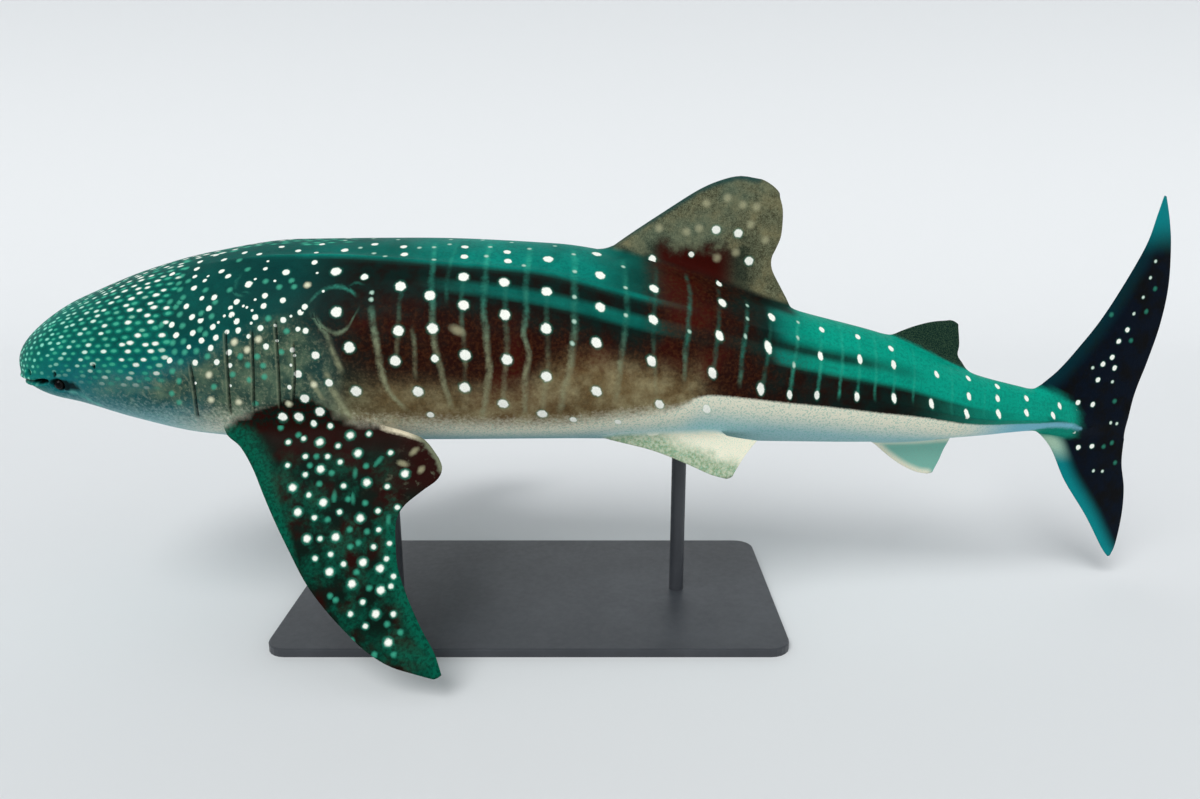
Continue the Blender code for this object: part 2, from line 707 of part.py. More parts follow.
def make_body():
    for name, start, end, rings in BODY_LENGTHS:
        stations = loft_stations(start, end, rings)
        stations[0] += 0.5 * MEET_GAP
        if name != BODY_LENGTHS[-1][0]:
            stations[-1] -= 0.5 * MEET_GAP
        length = body_mesh(name, stations)
        if name == "gill_region":
            both = [(slit, sign) for slit in GILL_SLITS for sign in (-1, 1)]
            combine(length, [gill_flap(*slit, sign) for slit, sign in both], "UNION")
            combine(length, [gill_slot(*slit, sign) for slit, sign in both], "DIFFERENCE")


def make_fins():
    middle = (
        ("dorsal_fin_first", DORSAL_FIRST, ("trunk_front", "trunk_rear", "tail_front")),
        ("dorsal_fin_second", DORSAL_SECOND, ("tail_front", "tail_stock")),
        ("anal_fin", ANAL_FIN, ("tail_front", "tail_stock")),
        ("tail_fin_upper", TAIL_UPPER, ("tail_front", "tail_stock")),
        ("tail_fin_lower", TAIL_LOWER, ("tail_front", "tail_stock")),
    )
    for name, form, carriers in middle:
        fin = fin_mesh(name, form, upright)
        combine(fin, [body_cutter(carriers)], "DIFFERENCE")
    for sign, side in ((-1, "left"), (1, "right")):
        blade = drooping(PECTORAL_ROOT, PECTORAL_DROOP[side], PECTORAL_CURL, sign)
        fin = fin_mesh("pectoral_fin_" + side, PECTORAL, blade)
        combine(fin, [body_cutter(("gill_region", "trunk_front"))], "DIFFERENCE")
        blade = drooping(PELVIC_ROOT, PELVIC_DROOP, PELVIC_CURL, sign)
        fin = fin_mesh("pelvic_fin_" + side, PELVIC, blade, "skin_pale")
        combine(fin, [body_cutter(("trunk_rear",))], "DIFFERENCE")


# Stand

def bevel(shape, edges, offset, segments):
    bmesh.ops.bevel(shape, geom=edges, offset=offset, segments=segments, profile=0.5, affect="EDGES")


def make_stand():
    shape = bmesh.new()
    centre = sum(ROD["stations"]) / len(ROD["stations"])
    bmesh.ops.create_cube(shape, size=1.0)
    bmesh.ops.scale(shape, vec=(BASE["length"], BASE["width"], BASE["height"]), verts=shape.verts[:])
    bmesh.ops.translate(shape, vec=(centre, 0.0, 0.5 * BASE["height"]), verts=shape.verts[:])
    uprights = [
        edge for edge in shape.edges
        if abs(edge.verts[0].co.z - edge.verts[1].co.z) > 0.5 * BASE["height"]
    ]
    bevel(shape, uprights, BASE["corner"], BASE["corner_steps"])
    top = [edge for edge in shape.edges if min(v.co.z for v in edge.verts) > 0.98 * BASE["height"]]
    bevel(shape, top, BASE["edge"], BASE["edge_steps"])
    solid("stand_base", shape, "stand_paint")
    for station, name in zip(ROD["stations"], ("stand_rod_front", "stand_rod_rear")):
        belly = section(station)[1] + DATUM_LIFT
        low = BASE["height"] + MEET_GAP
        high = belly + ROD["into_body"]
        shape = bmesh.new()
        bmesh.ops.create_cone(
            shape, cap_ends=True, segments=ROD["sides"],
            radius1=ROD["radius"], radius2=ROD["radius"], depth=high - low
        )
        bmesh.ops.translate(shape, vec=(station, 0.0, 0.5 * (high + low)), verts=shape.verts[:])
        rod = solid(name, shape, "stand_paint")
        combine(rod, [body_cutter(("trunk_front", "trunk_rear"))], "DIFFERENCE")


def centre_on_origin():
    """Move every piece so that the model's box is centred over the origin."""
    pieces = [item for item in bpy.data.objects if item.type == "MESH"]
    corners = [vertex.co for item in pieces for vertex in item.data.vertices]
    middle = [0.5 * (min(co[k] for co in corners) + max(co[k] for co in corners)) for k in range(2)]
    for item in pieces:
        item.data.transform(Matrix.Translation((-middle[0], -middle[1], 0.0)))


def main():
    clear_scene()
    make_head()
    make_body()
    make_fins()
    make_stand()
    centre_on_origin()


main()
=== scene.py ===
import json
import math

import bmesh
import bpy
import numpy as np
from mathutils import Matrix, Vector

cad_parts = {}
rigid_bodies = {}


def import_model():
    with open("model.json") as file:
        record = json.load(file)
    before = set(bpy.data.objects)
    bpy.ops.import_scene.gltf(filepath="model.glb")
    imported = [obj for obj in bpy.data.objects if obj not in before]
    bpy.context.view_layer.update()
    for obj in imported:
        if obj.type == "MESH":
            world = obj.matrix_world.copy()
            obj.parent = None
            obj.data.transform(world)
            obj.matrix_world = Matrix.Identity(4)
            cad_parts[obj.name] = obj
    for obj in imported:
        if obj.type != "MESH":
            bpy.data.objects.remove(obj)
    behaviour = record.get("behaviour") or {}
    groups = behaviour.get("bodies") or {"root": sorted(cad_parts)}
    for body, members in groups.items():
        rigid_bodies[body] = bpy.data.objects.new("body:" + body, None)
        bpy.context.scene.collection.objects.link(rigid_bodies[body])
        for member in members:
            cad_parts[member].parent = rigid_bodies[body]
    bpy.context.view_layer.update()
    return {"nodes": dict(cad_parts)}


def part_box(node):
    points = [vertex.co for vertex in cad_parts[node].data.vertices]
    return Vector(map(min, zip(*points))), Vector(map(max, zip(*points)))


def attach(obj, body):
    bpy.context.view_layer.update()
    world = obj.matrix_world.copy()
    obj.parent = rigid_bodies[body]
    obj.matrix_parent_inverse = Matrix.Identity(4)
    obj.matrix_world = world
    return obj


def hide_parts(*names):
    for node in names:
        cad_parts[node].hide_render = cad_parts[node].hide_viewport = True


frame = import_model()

# "station" runs back along the body from the snout, "side" is negative on the animal's left,
# and "height" is measured from the body's datum line. All in metres.
placing = {"datumLift": 1.70, "baseStation": 3.05}
baseLow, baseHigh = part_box("stand_base")
shiftX = 0.5 * (baseLow.x + baseHigh.x) - placing["baseStation"]
shiftY = 0.5 * (baseLow.y + baseHigh.y)


# Camera, at the photograph's viewing angle

view = {
    "station": 3.459, "side": -5.216, "height": 1.0076,
    "downward": 15.0,      # degrees below the horizon
    "lens": 26.568, "sensor": 36.0,
}


def makeCamera():
    data = bpy.data.cameras.new("camera")
    data.lens = view["lens"]
    data.sensor_width = view["sensor"]
    data.clip_end = 200.0
    camera = bpy.data.objects.new("camera", data)
    bpy.context.scene.collection.objects.link(camera)
    camera.location = (view["station"] + shiftX, view["side"] + shiftY, view["height"] + placing["datumLift"])
    camera.rotation_euler = (math.radians(90.0 - view["downward"]), 0.0, 0.0)
    bpy.context.scene.camera = camera


makeCamera()
print("camera set")


# Form of the body

body = {
    # station, back, belly, half width, widest height, back and belly fullness
    "form": (
        (0.00, 0.070, -0.250, 0.435, -0.120, 2.2, 2.7),
        (0.26, 0.170, -0.290, 0.470, -0.120, 2.2, 2.8),
        (0.50, 0.275, -0.330, 0.510, -0.120, 2.2, 2.9),
        (0.83, 0.405, -0.445, 0.560, -0.120, 2.2, 2.7),
        (1.18, 0.500, -0.540, 0.600, -0.110, 2.1, 2.5),
        (1.70, 0.575, -0.588, 0.625, -0.080, 2.1, 2.4),
        (2.40, 0.582, -0.595, 0.615, -0.060, 2.1, 2.3),
        (3.20, 0.550, -0.600, 0.560, -0.080, 2.0, 2.2),
        (3.60, 0.485, -0.610, 0.515, -0.110, 2.0, 2.1),
        (4.05, 0.355, -0.625, 0.455, -0.150, 2.0, 2.0),
        (4.60, 0.165, -0.640, 0.365, -0.240, 2.0, 2.0),
        (5.20, 0.000, -0.650, 0.262, -0.350, 2.0, 2.0),
        (5.75, -0.245, -0.632, 0.180, -0.470, 2.0, 2.0),
        (6.12, -0.350, -0.617, 0.120, -0.510, 2.0, 2.0),
        (6.28, -0.395, -0.628, 0.088, -0.535, 2.0, 2.0),
        (6.40, -0.460, -0.650, 0.062, -0.565, 2.0, 2.0),
        (6.50, -0.540, -0.645, 0.040, -0.595, 2.0, 2.0),
        (6.66, -0.600, -0.635, 0.004, -0.618, 2.0, 2.0),
    ),
    "snoutStart": 0.08, "snoutLength": 0.38, "snoutHeight": -0.10,
    "snoutRound": (2.2, 2.0, 2.2),     # back, belly, side
    "swayStart": 4.8, "swaySpan": 2.14, "swayReach": 0.28,
    # Distance between rings along the skin, by station
    "ringGap": ((0.08, 0.012), (0.55, 0.013), (0.9, 0.017), (1.2, 0.016), (1.95, 0.018), (2.4, 0.026),
                (5.4, 0.026), (5.9, 0.018), (6.66, 0.014)),
    "stepsAround": (17, 9, 14, 33),    # back to each ridge, and on to the belly
    "crowding": 0.40,                  # how far the steps close up at a ridge
}

ridges = {
    # Degrees round from the back at each station, how proud, and how broad
    "paths": (
        ((1.3, 26.0), (1.7, 27.6), (2.0, 28.6), (2.3, 31.6), (2.6, 35.0), (3.1, 37.5), (3.4, 43.0),
         (3.8, 47.5),
         (4.6, 49.0), (6.5, 50.0)),
        ((2.4, 46.0), (2.64, 49.5), (2.94, 52.0), (3.34, 57.5), (3.76, 63.0), (4.4, 65.0), (5.5, 66.0),
         (6.5, 70.0)),
        ((2.6, 78.0), (3.4, 80.0), (4.6, 88.0), (5.4, 90.0), (6.5, 90.0)),
    ),
    "rises": (
        ((1.2, 0.000), (1.5, 0.006), (2.0, 0.016), (4.6, 0.014), (5.6, 0.005), (6.3, 0.000)),
        ((2.2, 0.000), (2.8, 0.013), (4.6, 0.013), (5.6, 0.005), (6.3, 0.000)),
        ((3.0, 0.000), (3.9, 0.008), (5.0, 0.014), (5.9, 0.036), (6.3, 0.024), (6.5, 0.004)),
    ),
    "foot": (0.060, 0.060, 0.052),
    "crest": 1.5,                      # sharpness of the crest
}


def readCurve(points, at):
    # Smooth curve through (place, value) points that never overshoots them
    places = np.array([point[0] for point in points], float)
    values = np.array([point[1] for point in points], float)
    at = np.clip(at, places[0], places[-1])
    steps = np.diff(values) / np.diff(places)
    before, after = steps[:-1], steps[1:]
    total = np.where(before + after == 0.0, 1.0, before + after)
    inner = np.where(before * after <= 0.0, 0.0, 2.0 * before * after / total)
    lean = np.concatenate([steps[:1], inner, steps[-1:]])
    i = np.clip(np.searchsorted(places, at, side="right") - 1, 0, len(places) - 2)
    span = places[i + 1] - places[i]
    t = (at - places[i]) / span
    start = (1 + 2 * t) * (1 - t) ** 2 * values[i] + t * (1 - t) ** 2 * span * lean[i]
    end = t * t * (3 - 2 * t) * values[i + 1] - t * t * (1 - t) * span * lean[i + 1]
    return start + end


def smooth(low, high, value):
    t = np.clip((value - low) / (high - low), 0.0, 1.0)
    return t * t * (3.0 - 2.0 * t)


def bell(value, width):
    return np.exp(-(value / width) ** 2)


def sway(station):
    return body["swayReach"] * np.maximum(0.0, (station - body["swayStart"]) / body["swaySpan"]) ** 2


def snoutShare(station, power):
    share = np.clip((station - body["snoutStart"]) / body["snoutLength"], 0.0, 1.0)
    return (1.0 - (1.0 - share) ** power) ** (1.0 / power)


def section(station):
    back, belly, half, widest, upper, lower = (
        readCurve([(row[0], row[k]) for row in body["form"]], station) for k in range(1, 7)
    )
    nose = body["snoutHeight"]
    backRound, bellyRound, sideRound = body["snoutRound"]
    back = nose + (back - nose) * snoutShare(station, backRound)
    belly = nose + (belly - nose) * snoutShare(station, bellyRound)
    widest = nose + (widest - nose) * snoutShare(station, backRound)
    return back, belly, half * snoutShare(station, sideRound), widest, upper, lower


def ringSpot(station, turn):
    # Side and height of the skin, at an angle round from the back in degrees, negative to the left
    back, belly, half, widest, upper, lower = section(station)
    angle = np.radians(turn)
    out, up = np.sin(angle), np.cos(angle)
    power = np.where(up >= 0.0, upper, lower)
    reach = np.where(up >= 0.0, back - widest, widest - belly)
    side = np.sign(out) * half * np.abs(out) ** (2.0 / power)
    return side, widest + np.sign(up) * reach * np.abs(up) ** (2.0 / power)


def locate(station, side, height):
    # Angle round from the back, and the distance outside the skin
    back, belly, half, widest, upper, lower = section(station)
    above = height >= widest
    power = np.where(above, upper, lower)
    reach = np.maximum(1e-4, np.where(above, back - widest, widest - belly))
    half = np.maximum(1e-4, half)
    a, b = np.abs(side) / half, np.abs(height - widest) / reach
    share = np.maximum(1e-6, (a ** power + b ** power) ** (1.0 / power))
    turn = np.degrees(np.arctan2(a ** (power / 2), np.where(above, 1.0, -1.0) * b ** (power / 2)))
    outside = np.hypot(side, height - widest) * (1.0 - 1.0 / share)
    return np.where(side < 0.0, -turn, turn), outside


# Distance round the skin from the back, looked up by station and angle

arcStations = np.linspace(body["snoutStart"] + 0.001, body["form"][-1][0], 420)
arcTurns = np.linspace(0.0, 180.0, 361)


def makeArcTable():
    side, height = ringSpot(arcStations[:, None], arcTurns[None, :])
    steps = np.hypot(np.diff(side, axis=1), np.diff(height, axis=1))
    return np.concatenate([np.zeros((len(arcStations), 1)), np.cumsum(steps, axis=1)], axis=1)


arcTable = makeArcTable()


def arcAt(station, turn):
    x = np.clip((station - arcStations[0]) / (arcStations[1] - arcStations[0]), 0.0, len(arcStations) - 1.001)
    y = np.clip(np.abs(turn) / (arcTurns[1] - arcTurns[0]), 0.0, len(arcTurns) - 1.001)
    i, j = x.astype(int), y.astype(int)
    x, y = x - i, y - j
    near = arcTable[i, j] * (1 - y) + arcTable[i, j + 1] * y
    far = arcTable[i + 1, j] * (1 - y) + arcTable[i + 1, j + 1] * y
    return near * (1 - x) + far * x


def toFrame(station, side, height):
    return np.stack([station + shiftX, side + sway(station) + shiftY, height + placing["datumLift"]], axis=-1)


def fromFrame(points):
    station = points[:, 0] - shiftX
    return station, points[:, 1] - shiftY - sway(station), points[:, 2] - placing["datumLift"]


# Features of the head and gills, as heights above or below the plain form

mouth = {
    "front": -0.190, "slope": 0.085, "corner": 0.41,
    "groove": 0.017, "grooveWidth": 0.0060, "lip": 0.011, "lipAway": 0.018, "lipWidth": 0.011,
    "gape": {"station": 0.385, "length": 0.048, "height": 0.016, "depth": 0.030},
}
eye = {"station": 0.495, "height": -0.170,
       "bowl": 0.034, "bowlDepth": 0.026, "lid": 0.010, "lidRing": 0.042, "lidWidth": 0.009,
       "stretch": 1.10,
       # An oval of painted shade for the eye's socket and the mouth corner: its middle, half length, half
       # height and lean
       "shadeStation": 0.532, "shadeHeight": -0.170, "shadeLong": 0.084, "shadeTall": 0.031,
       "shadeLean": 0.20}
pore = {"station": 0.479, "height": -0.112, "length": 0.009, "tall": 0.014, "depth": 0.010}
lipMarks = (
    # Pale strips along the lower lip: station, height, half length, half width, fall per metre back
    (0.590, -0.223, 0.048, 0.010, 0.22), (0.662, -0.277, 0.036, 0.010, 0.49),
)
nostril = {"station": 0.300, "height": -0.118, "length": 0.013, "tall": 0.019, "depth": 0.020,
           "flapStation": 0.272, "flapHeight": -0.128, "flapSize": 0.019, "flapRise": 0.012}
spiracle = {"station": 0.72, "height": -0.060, "length": 0.010, "tall": 0.016, "depth": 0.016, "rim": 0.004}
gills = {
    # Station, lowest and highest point, and how far the lower end leans forward
    "slits": ((1.273, -0.350, -0.030, 0.016), (1.469, -0.330, 0.145, 0.024), (1.607, -0.315, 0.150, 0.036),
              (1.744, -0.280, 0.200, 0.010), (1.828, -0.240, 0.090, 0.030)),
    "flapReach": 0.085, "flapRise": 0.012, "slitWidth": 0.007, "slitDepth": 0.014, "endFade": 0.030,
    "bend": 0.014,
}


def mouthLine(station):
    return mouth["front"] + mouth["slope"] * station


def spotDistance(station, height, spot, stretch=1.0):
    return np.hypot((station - spot["station"]) / stretch, height - spot["height"])


def ovalFar(station, height, oval):
    # Distance from an oval's middle, in shares of its half lengths
    return np.hypot((station - oval["station"]) / oval["length"], (height - oval["height"]) / oval["tall"])


def gillOffset(station, height, slit):
    place, low, high, lean = slit
    share = (height - low) / (high - low)
    bent = place + lean * (share - 0.5) + gills["bend"] * (np.sin(math.pi * np.clip(share, 0.0, 1.0)) - 0.6)
    ends = smooth(low - 0.01, low + gills["endFade"], height)
    ends = ends * smooth(high + 0.01, high - gills["endFade"], height)
    return station - bent, ends


def features(station, height, arc):
    rise = np.zeros_like(station)
    for path, rises, foot in zip(ridges["paths"], ridges["rises"], ridges["foot"]):
        crest = arcAt(station, readCurve(path, station))
        share = np.maximum(0.0, 1.0 - np.abs(arc - crest) / foot)
        rise += readCurve(rises, station) * share ** ridges["crest"]
    # Mouth: a groove between two lips, wide and deep at its corner
    along = smooth(mouth["corner"] + 0.02, mouth["corner"] - 0.05, station)
    away = height - mouthLine(station)
    rise += along * mouth["lip"] * bell(np.abs(away) - mouth["lipAway"], mouth["lipWidth"])
    rise -= along * mouth["groove"] * bell(away, mouth["grooveWidth"])
    gape = mouth["gape"]
    oval = np.hypot((station - gape["station"]) / gape["length"], away / gape["height"])
    rise -= gape["depth"] * smooth(1.25, 0.55, oval)
    rise += 0.007 * bell(oval - 1.45, 0.30)
    # Eye: a bowl for the eyeball with a raised lid round it
    far = spotDistance(station, height, eye, eye["stretch"])
    rise += eye["lid"] * bell(far - eye["lidRing"], eye["lidWidth"])
    rise -= eye["bowlDepth"] * np.sqrt(np.maximum(0.0, 1.0 - (far / eye["bowl"]) ** 2))
    # Hollows, the nostril's flap and the spiracle's rim
    for hollow in (nostril, spiracle, pore):
        rise -= hollow["depth"] * smooth(1.2, 0.4, ovalFar(station, height, hollow))
    flap = np.hypot(station - nostril["flapStation"], height - nostril["flapHeight"])
    rise += nostril["flapRise"] * bell(flap, nostril["flapSize"])
    rise += spiracle["rim"] * bell(ovalFar(station, height, spiracle) - 1.5, 0.5)
    # Gills: each flap swells towards its rear edge, and the slit drops behind it
    for slit in gills["slits"]:
        offset, ends = gillOffset(station, height, slit)
        swell = np.where(offset < 0.0, np.maximum(0.0, 1.0 + offset / gills["flapReach"]) ** 2, 0.0)
        behind = np.maximum(0.0, 1.0 - offset / gills["slitWidth"])
        pit = np.where(offset >= 0.0, behind, np.maximum(0.0, 1.0 + offset / 0.004))
        rise += ends * (gills["flapRise"] * swell * (offset < 0.0) - gills["slitDepth"] * pit ** 1.3)
    return rise


def finest(station, height):
    # Longest edge wanted here, so that the mesh is fine where the form is
    size = np.full_like(station, 1.0)
    lips = (np.abs(height - mouthLine(station)) < 0.045) & (station < mouth["corner"] + 0.04)
    size = np.where(lips, 0.0085, size)
    groove = (np.abs(height - mouthLine(station)) < 0.015) & (station < mouth["corner"] + 0.03)
    size = np.where(groove, 0.0046, size)
    for spot, near in ((eye, 0.062), (nostril, 0.035), (spiracle, 0.030), (pore, 0.024)):
        size = np.where(spotDistance(station, height, spot) < near, 0.0065, size)
    for slit in gills["slits"]:
        offset, ends = gillOffset(station, height, slit)
        size = np.where((offset > -0.020) & (offset < 0.026) & (ends > 0.01), 0.0085, size)
        size = np.where((offset > -0.010) & (offset < 0.012) & (ends > 0.01), 0.0044, size)
    return size


# Body skin

def ringStations():
    # Rings evenly spaced along the skin, so they crowd together where the snout turns in
    fine = body["snoutStart"] + (body["form"][-1][0] - body["snoutStart"]) * np.linspace(0.0, 1.0, 20001) ** 2
    back, belly, half = section(fine)[:3]
    across = 0.5 * np.abs(np.diff(half)) + 0.25 * np.abs(np.diff(back - belly))
    run = np.sqrt(np.diff(fine) ** 2 + across ** 2)
    gap = readCurve(body["ringGap"], 0.5 * (fine[1:] + fine[:-1]))
    count = np.concatenate([[0.0], np.cumsum(run / gap)])
    return np.interp(np.arange(1, int(count[-1])), count, fine)


def ringTurns(station):
    marks = [0.0] + [float(readCurve(path, station)) for path in ridges["paths"]] + [180.0]
    arcs = np.interp(marks, arcTurns, [float(arcAt(np.array([station]), np.array([t]))[0]) for t in arcTurns])
    wanted = [arcs[:1]]
    for k, steps in enumerate(body["stepsAround"]):
        t = np.arange(1, steps + 1) / steps
        low = body["crowding"] if k > 0 else 0.0
        high = body["crowding"] if k < 3 else 0.0
        eased = t - (low * (1 - t) + high * t) * np.sin(2 * math.pi * t) / (2 * math.pi)
        wanted.append(arcs[k] + (arcs[k + 1] - arcs[k]) * eased)
    wanted = np.concatenate(wanted)
    table = arcAt(np.full(len(arcTurns), station), arcTurns)
    half = np.interp(wanted, table, arcTurns)
    return np.concatenate([half, -half[-2:0:-1]])


def bodyShape():
    stations = ringStations()
    turns = np.array([ringTurns(station) for station in stations])
    rings, around = turns.shape
    place = np.repeat(stations, around)
    turns = turns.ravel()
    index = np.arange(rings * around).reshape(rings, around)
    following = np.roll(index, -1, axis=1)
    quads = np.stack([index[:-1], index[1:], following[1:], following[:-1]], axis=-1).reshape(-1, 4)
    nose, tail = rings * around, rings * around + 1
    faces = [list(quad) for quad in quads]
    faces += [[nose, index[0, k], following[0, k]] for k in range(around)]
    faces += [[tail, following[-1, k], index[-1, k]] for k in range(around)]
    place = np.concatenate([place, [body["snoutStart"], body["form"][-1][0] + 0.004]])
    turns = np.concatenate([turns, [0.0, 0.0]])
    poles = np.zeros(len(place))
    poles[-2:] = 1.0
    return place, turns, poles, faces


def readLayer(mesh, name, width=1):
    data = mesh.attributes[name].data
    values = np.zeros(len(data) * width, np.float32)
    data.foreach_get("vector" if width == 3 else "value", values)
    return values.reshape(-1, 3).astype(float) if width == 3 else values.astype(float)


def writeLayer(mesh, name, values, domain="POINT"):
    kind = "FLOAT_VECTOR" if values.ndim == 2 else "FLOAT"
    layer = mesh.attributes.new(name, kind, domain)
    layer.data.foreach_set("vector" if values.ndim == 2 else "value", values.astype(np.float32).ravel())


def edgeEnds(mesh):
    ends = np.zeros(len(mesh.edges) * 2, np.int32)
    mesh.edges.foreach_get("vertices", ends)
    return ends.reshape(-1, 2)


def opened(mesh):
    shape = bmesh.new()
    shape.from_mesh(mesh)
    return shape


def closed(shape, mesh):
    shape.to_mesh(mesh)
    shape.free()


def plainSpots(mesh):
    # Positions on the plain form from each vertex's station and angle
    station = readLayer(mesh, "station")
    turn = np.degrees(np.arctan2(readLayer(mesh, "sine"), readLayer(mesh, "cosine")))
    side, height = ringSpot(station, turn)
    pole = readLayer(mesh, "pole") > 0.5
    side = np.where(pole, 0.0, side)
    height = np.where(pole & (station < 1.0), body["snoutHeight"], height)
    height = np.where(pole & (station > 1.0), body["form"][-1][4], height)
    return station, turn, side, height


def setPositions(mesh, points):
    mesh.vertices.foreach_set("co", points.astype(np.float32).ravel())
    mesh.update()


def makeBody():
    place, turns, poles, faces = bodyShape()
    mesh = bpy.data.meshes.new("body")
    mesh.from_pydata([(0.0, 0.0, 0.0)] * len(place), [], faces)
    for name, values in (("station", place), ("sine", np.sin(np.radians(turns))),
                         ("cosine", np.cos(np.radians(turns))), ("pole", poles)):
        writeLayer(mesh, name, values)
    for level in range(3):
        station, turn, side, height = plainSpots(mesh)
        points = toFrame(station, side, height)
        setPositions(mesh, points)
        ends = edgeEnds(mesh)
        length = np.linalg.norm(points[ends[:, 0]] - points[ends[:, 1]], axis=1)
        limit = finest(station, height)
        pole = readLayer(mesh, "pole") > 0.5
        split = (length > limit[ends].min(axis=1)) & ~pole[ends].any(axis=1)
        if level == 2 or not split.any():
            break
        shape = opened(mesh)
        shape.edges.ensure_lookup_table()
        chosen = [shape.edges[i] for i in np.nonzero(split)[0]]
        bmesh.ops.subdivide_edges(shape, edges=chosen, cuts=1, use_grid_fill=True)
        closed(shape, mesh)
    shape = opened(mesh)
    bmesh.ops.triangulate(shape, faces=shape.faces[:], quad_method="BEAUTY")
    bmesh.ops.recalc_face_normals(shape, faces=shape.faces[:])
    closed(shape, mesh)
    station, turn, side, height = plainSpots(mesh)
    points = toFrame(station, side, height)
    setPositions(mesh, points)
    normals = np.zeros(len(mesh.vertices) * 3, np.float32)
    mesh.vertices.foreach_get("normal", normals)
    rise = features(station, height, arcAt(station, turn))
    setPositions(mesh, points + normals.reshape(-1, 3) * rise[:, None])
    for name in ("station", "sine", "cosine", "pole"):
        mesh.attributes.remove(mesh.attributes[name])
    return makeObject("body", mesh)


def makeObject(name, mesh):
    item = bpy.data.objects.new(name, mesh)
    bpy.context.scene.collection.objects.link(item)
    return item


# Fins, as edges in the fin's own plane

upperFins = {
    "dorsalFirst": {
        "lead": ((3.38, 0.46), (3.575, 0.585), (3.805, 0.724), (4.03, 0.859), (4.17, 0.915), (4.27, 0.932),
                 (4.362, 0.915)),
        "trail": ((4.60, 0.164), (4.521, 0.300), (4.468, 0.400), (4.463, 0.467), (4.485, 0.520),
                  (4.512, 0.600), (4.514, 0.741), (4.488, 0.822)),
        "root": ((3.38, 0.42), (3.80, 0.33), (4.15, 0.22), (4.27, 0.262), (4.45, 0.211), (4.60, 0.164)),
        "thick": 0.075, "tip": 0.016, "rows": 34, "columns": 40, "flare": 0.045, "flareReach": 0.085,
    },
    "dorsalSecond": {
        "lead": ((5.12, -0.03), (5.178, 0.010), (5.284, 0.049), (5.434, 0.084), (5.55, 0.092)),
        "trail": ((5.72, -0.235), (5.662, -0.170), (5.628, -0.120), (5.631, -0.055), (5.612, 0.060)),
        "root": ((5.12, -0.07), (5.30, -0.12), (5.44, -0.150), (5.51, -0.143), (5.62, -0.195),
                 (5.72, -0.235)),
        "thick": 0.034, "tip": 0.009, "rows": 18, "columns": 22, "flare": 0.020, "flareReach": 0.040,
    },
    "tailUpper": {
        "lead": ((6.12, -0.4875), (6.15, -0.375), (6.304, -0.238), (6.429, -0.091), (6.552, 0.074),
                 (6.682, 0.298), (6.793, 0.526), (6.836, 0.699), (6.862, 0.812)),
        "trail": ((6.848, -0.745), (6.874, -0.444), (6.933, -0.218), (6.985, 0.017), (7.001, 0.256),
                  (6.971, 0.504), (6.930, 0.668), (6.880, 0.806)),
        "root": ((6.12, -0.4875), (6.40, -0.640), (6.848, -0.745)),
        "thick": 0.046, "tip": 0.010, "rows": 54, "columns": 28, "flare": 0.018, "flareReach": 0.060,
    },
}
lowerFins = {
    "anal": {
        "lead": ((5.08, -0.58), (5.142, -0.665), (5.297, -0.791), (5.425, -0.860), (5.505, -0.878)),
        "trail": ((5.640, -0.640), (5.600, -0.725), (5.578, -0.790), (5.545, -0.866)),
        "root": ((5.08, -0.57), (5.42, -0.58), (5.52, -0.646), (5.640, -0.640)),
        "thick": 0.034, "tip": 0.009, "rows": 18, "columns": 22, "flare": 0.020, "flareReach": 0.040,
    },
    "tailLower": {
        "lead": ((6.12, -0.4881), (6.19, -0.600), (6.323, -0.747), (6.452, -0.972), (6.646, -1.231),
                 (6.808, -1.477), (6.868, -1.548)),
        "trail": ((6.853, -0.655), (6.861, -0.875), (6.912, -1.067), (6.929, -1.260), (6.915, -1.467),
                  (6.888, -1.546)),
        "root": ((6.12, -0.4881), (6.45, -0.560), (6.853, -0.655)),
        "thick": 0.046, "tip": 0.010, "rows": 42, "columns": 28, "flare": 0.018, "flareReach": 0.060,
    },
}
pairedFins = {
    "pectoral": {
        "lead": ((1.36, -0.06), (1.406, 0.083), (1.498, 0.165), (1.581, 0.285), (1.654, 0.426),
                 (1.738, 0.584), (1.824, 0.732), (1.915, 0.883), (2.011, 1.005), (2.132, 1.130),
                 (2.254, 1.238), (2.376, 1.310), (2.499, 1.348), (2.600, 1.374)),
        "trail": ((2.584, 0.226), (2.606, 0.285), (2.584, 0.348), (2.504, 0.412), (2.414, 0.492),
                  (2.378, 0.573), (2.382, 0.690), (2.402, 0.821), (2.461, 0.974), (2.533, 1.120),
                  (2.607, 1.247), (2.644, 1.350)),
        "root": ((1.36, -0.06), (1.75, -0.08), (2.10, -0.06), (2.25, 0.040), (2.383, 0.078), (2.50, 0.125),
                 (2.584, 0.226)),
        "thick": 0.085, "tip": 0.012, "rows": 72, "columns": 40, "flare": 0.024, "flareReach": 0.070,
        "side": 0.52, "height": -0.36, "droop": (52.0, 18.0), "curl": 6.0,
        "inner": ((2.22, 0.02), (2.30, 0.050), (2.383, 0.078), (2.50, 0.125), (2.584, 0.226),
                  (2.606, 0.285)),
    },
    "pelvic": {
        "lead": ((3.33, -0.03), (3.453, 0.046), (3.750, 0.112), (3.963, 0.192), (4.092, 0.250),
                 (4.185, 0.275)),
        "trail": ((4.370, 0.055), (4.322, 0.110), (4.280, 0.168), (4.225, 0.255)),
        "root": ((3.33, -0.06), (3.90, -0.08), (4.08, -0.05), (4.17, 0.020), (4.370, 0.055)),
        "thick": 0.040, "tip": 0.009, "rows": 20, "columns": 30, "flare": 0.022, "flareReach": 0.045,
        "side": 0.30, "height": -0.50, "droop": (68.0, 68.0), "curl": 0.0,
    },
}
foil = {"taper": 0.8, "bow": 3.0, "tipStart": 0.94, "tipBulge": 0.16, "tipGrow": 0.86}


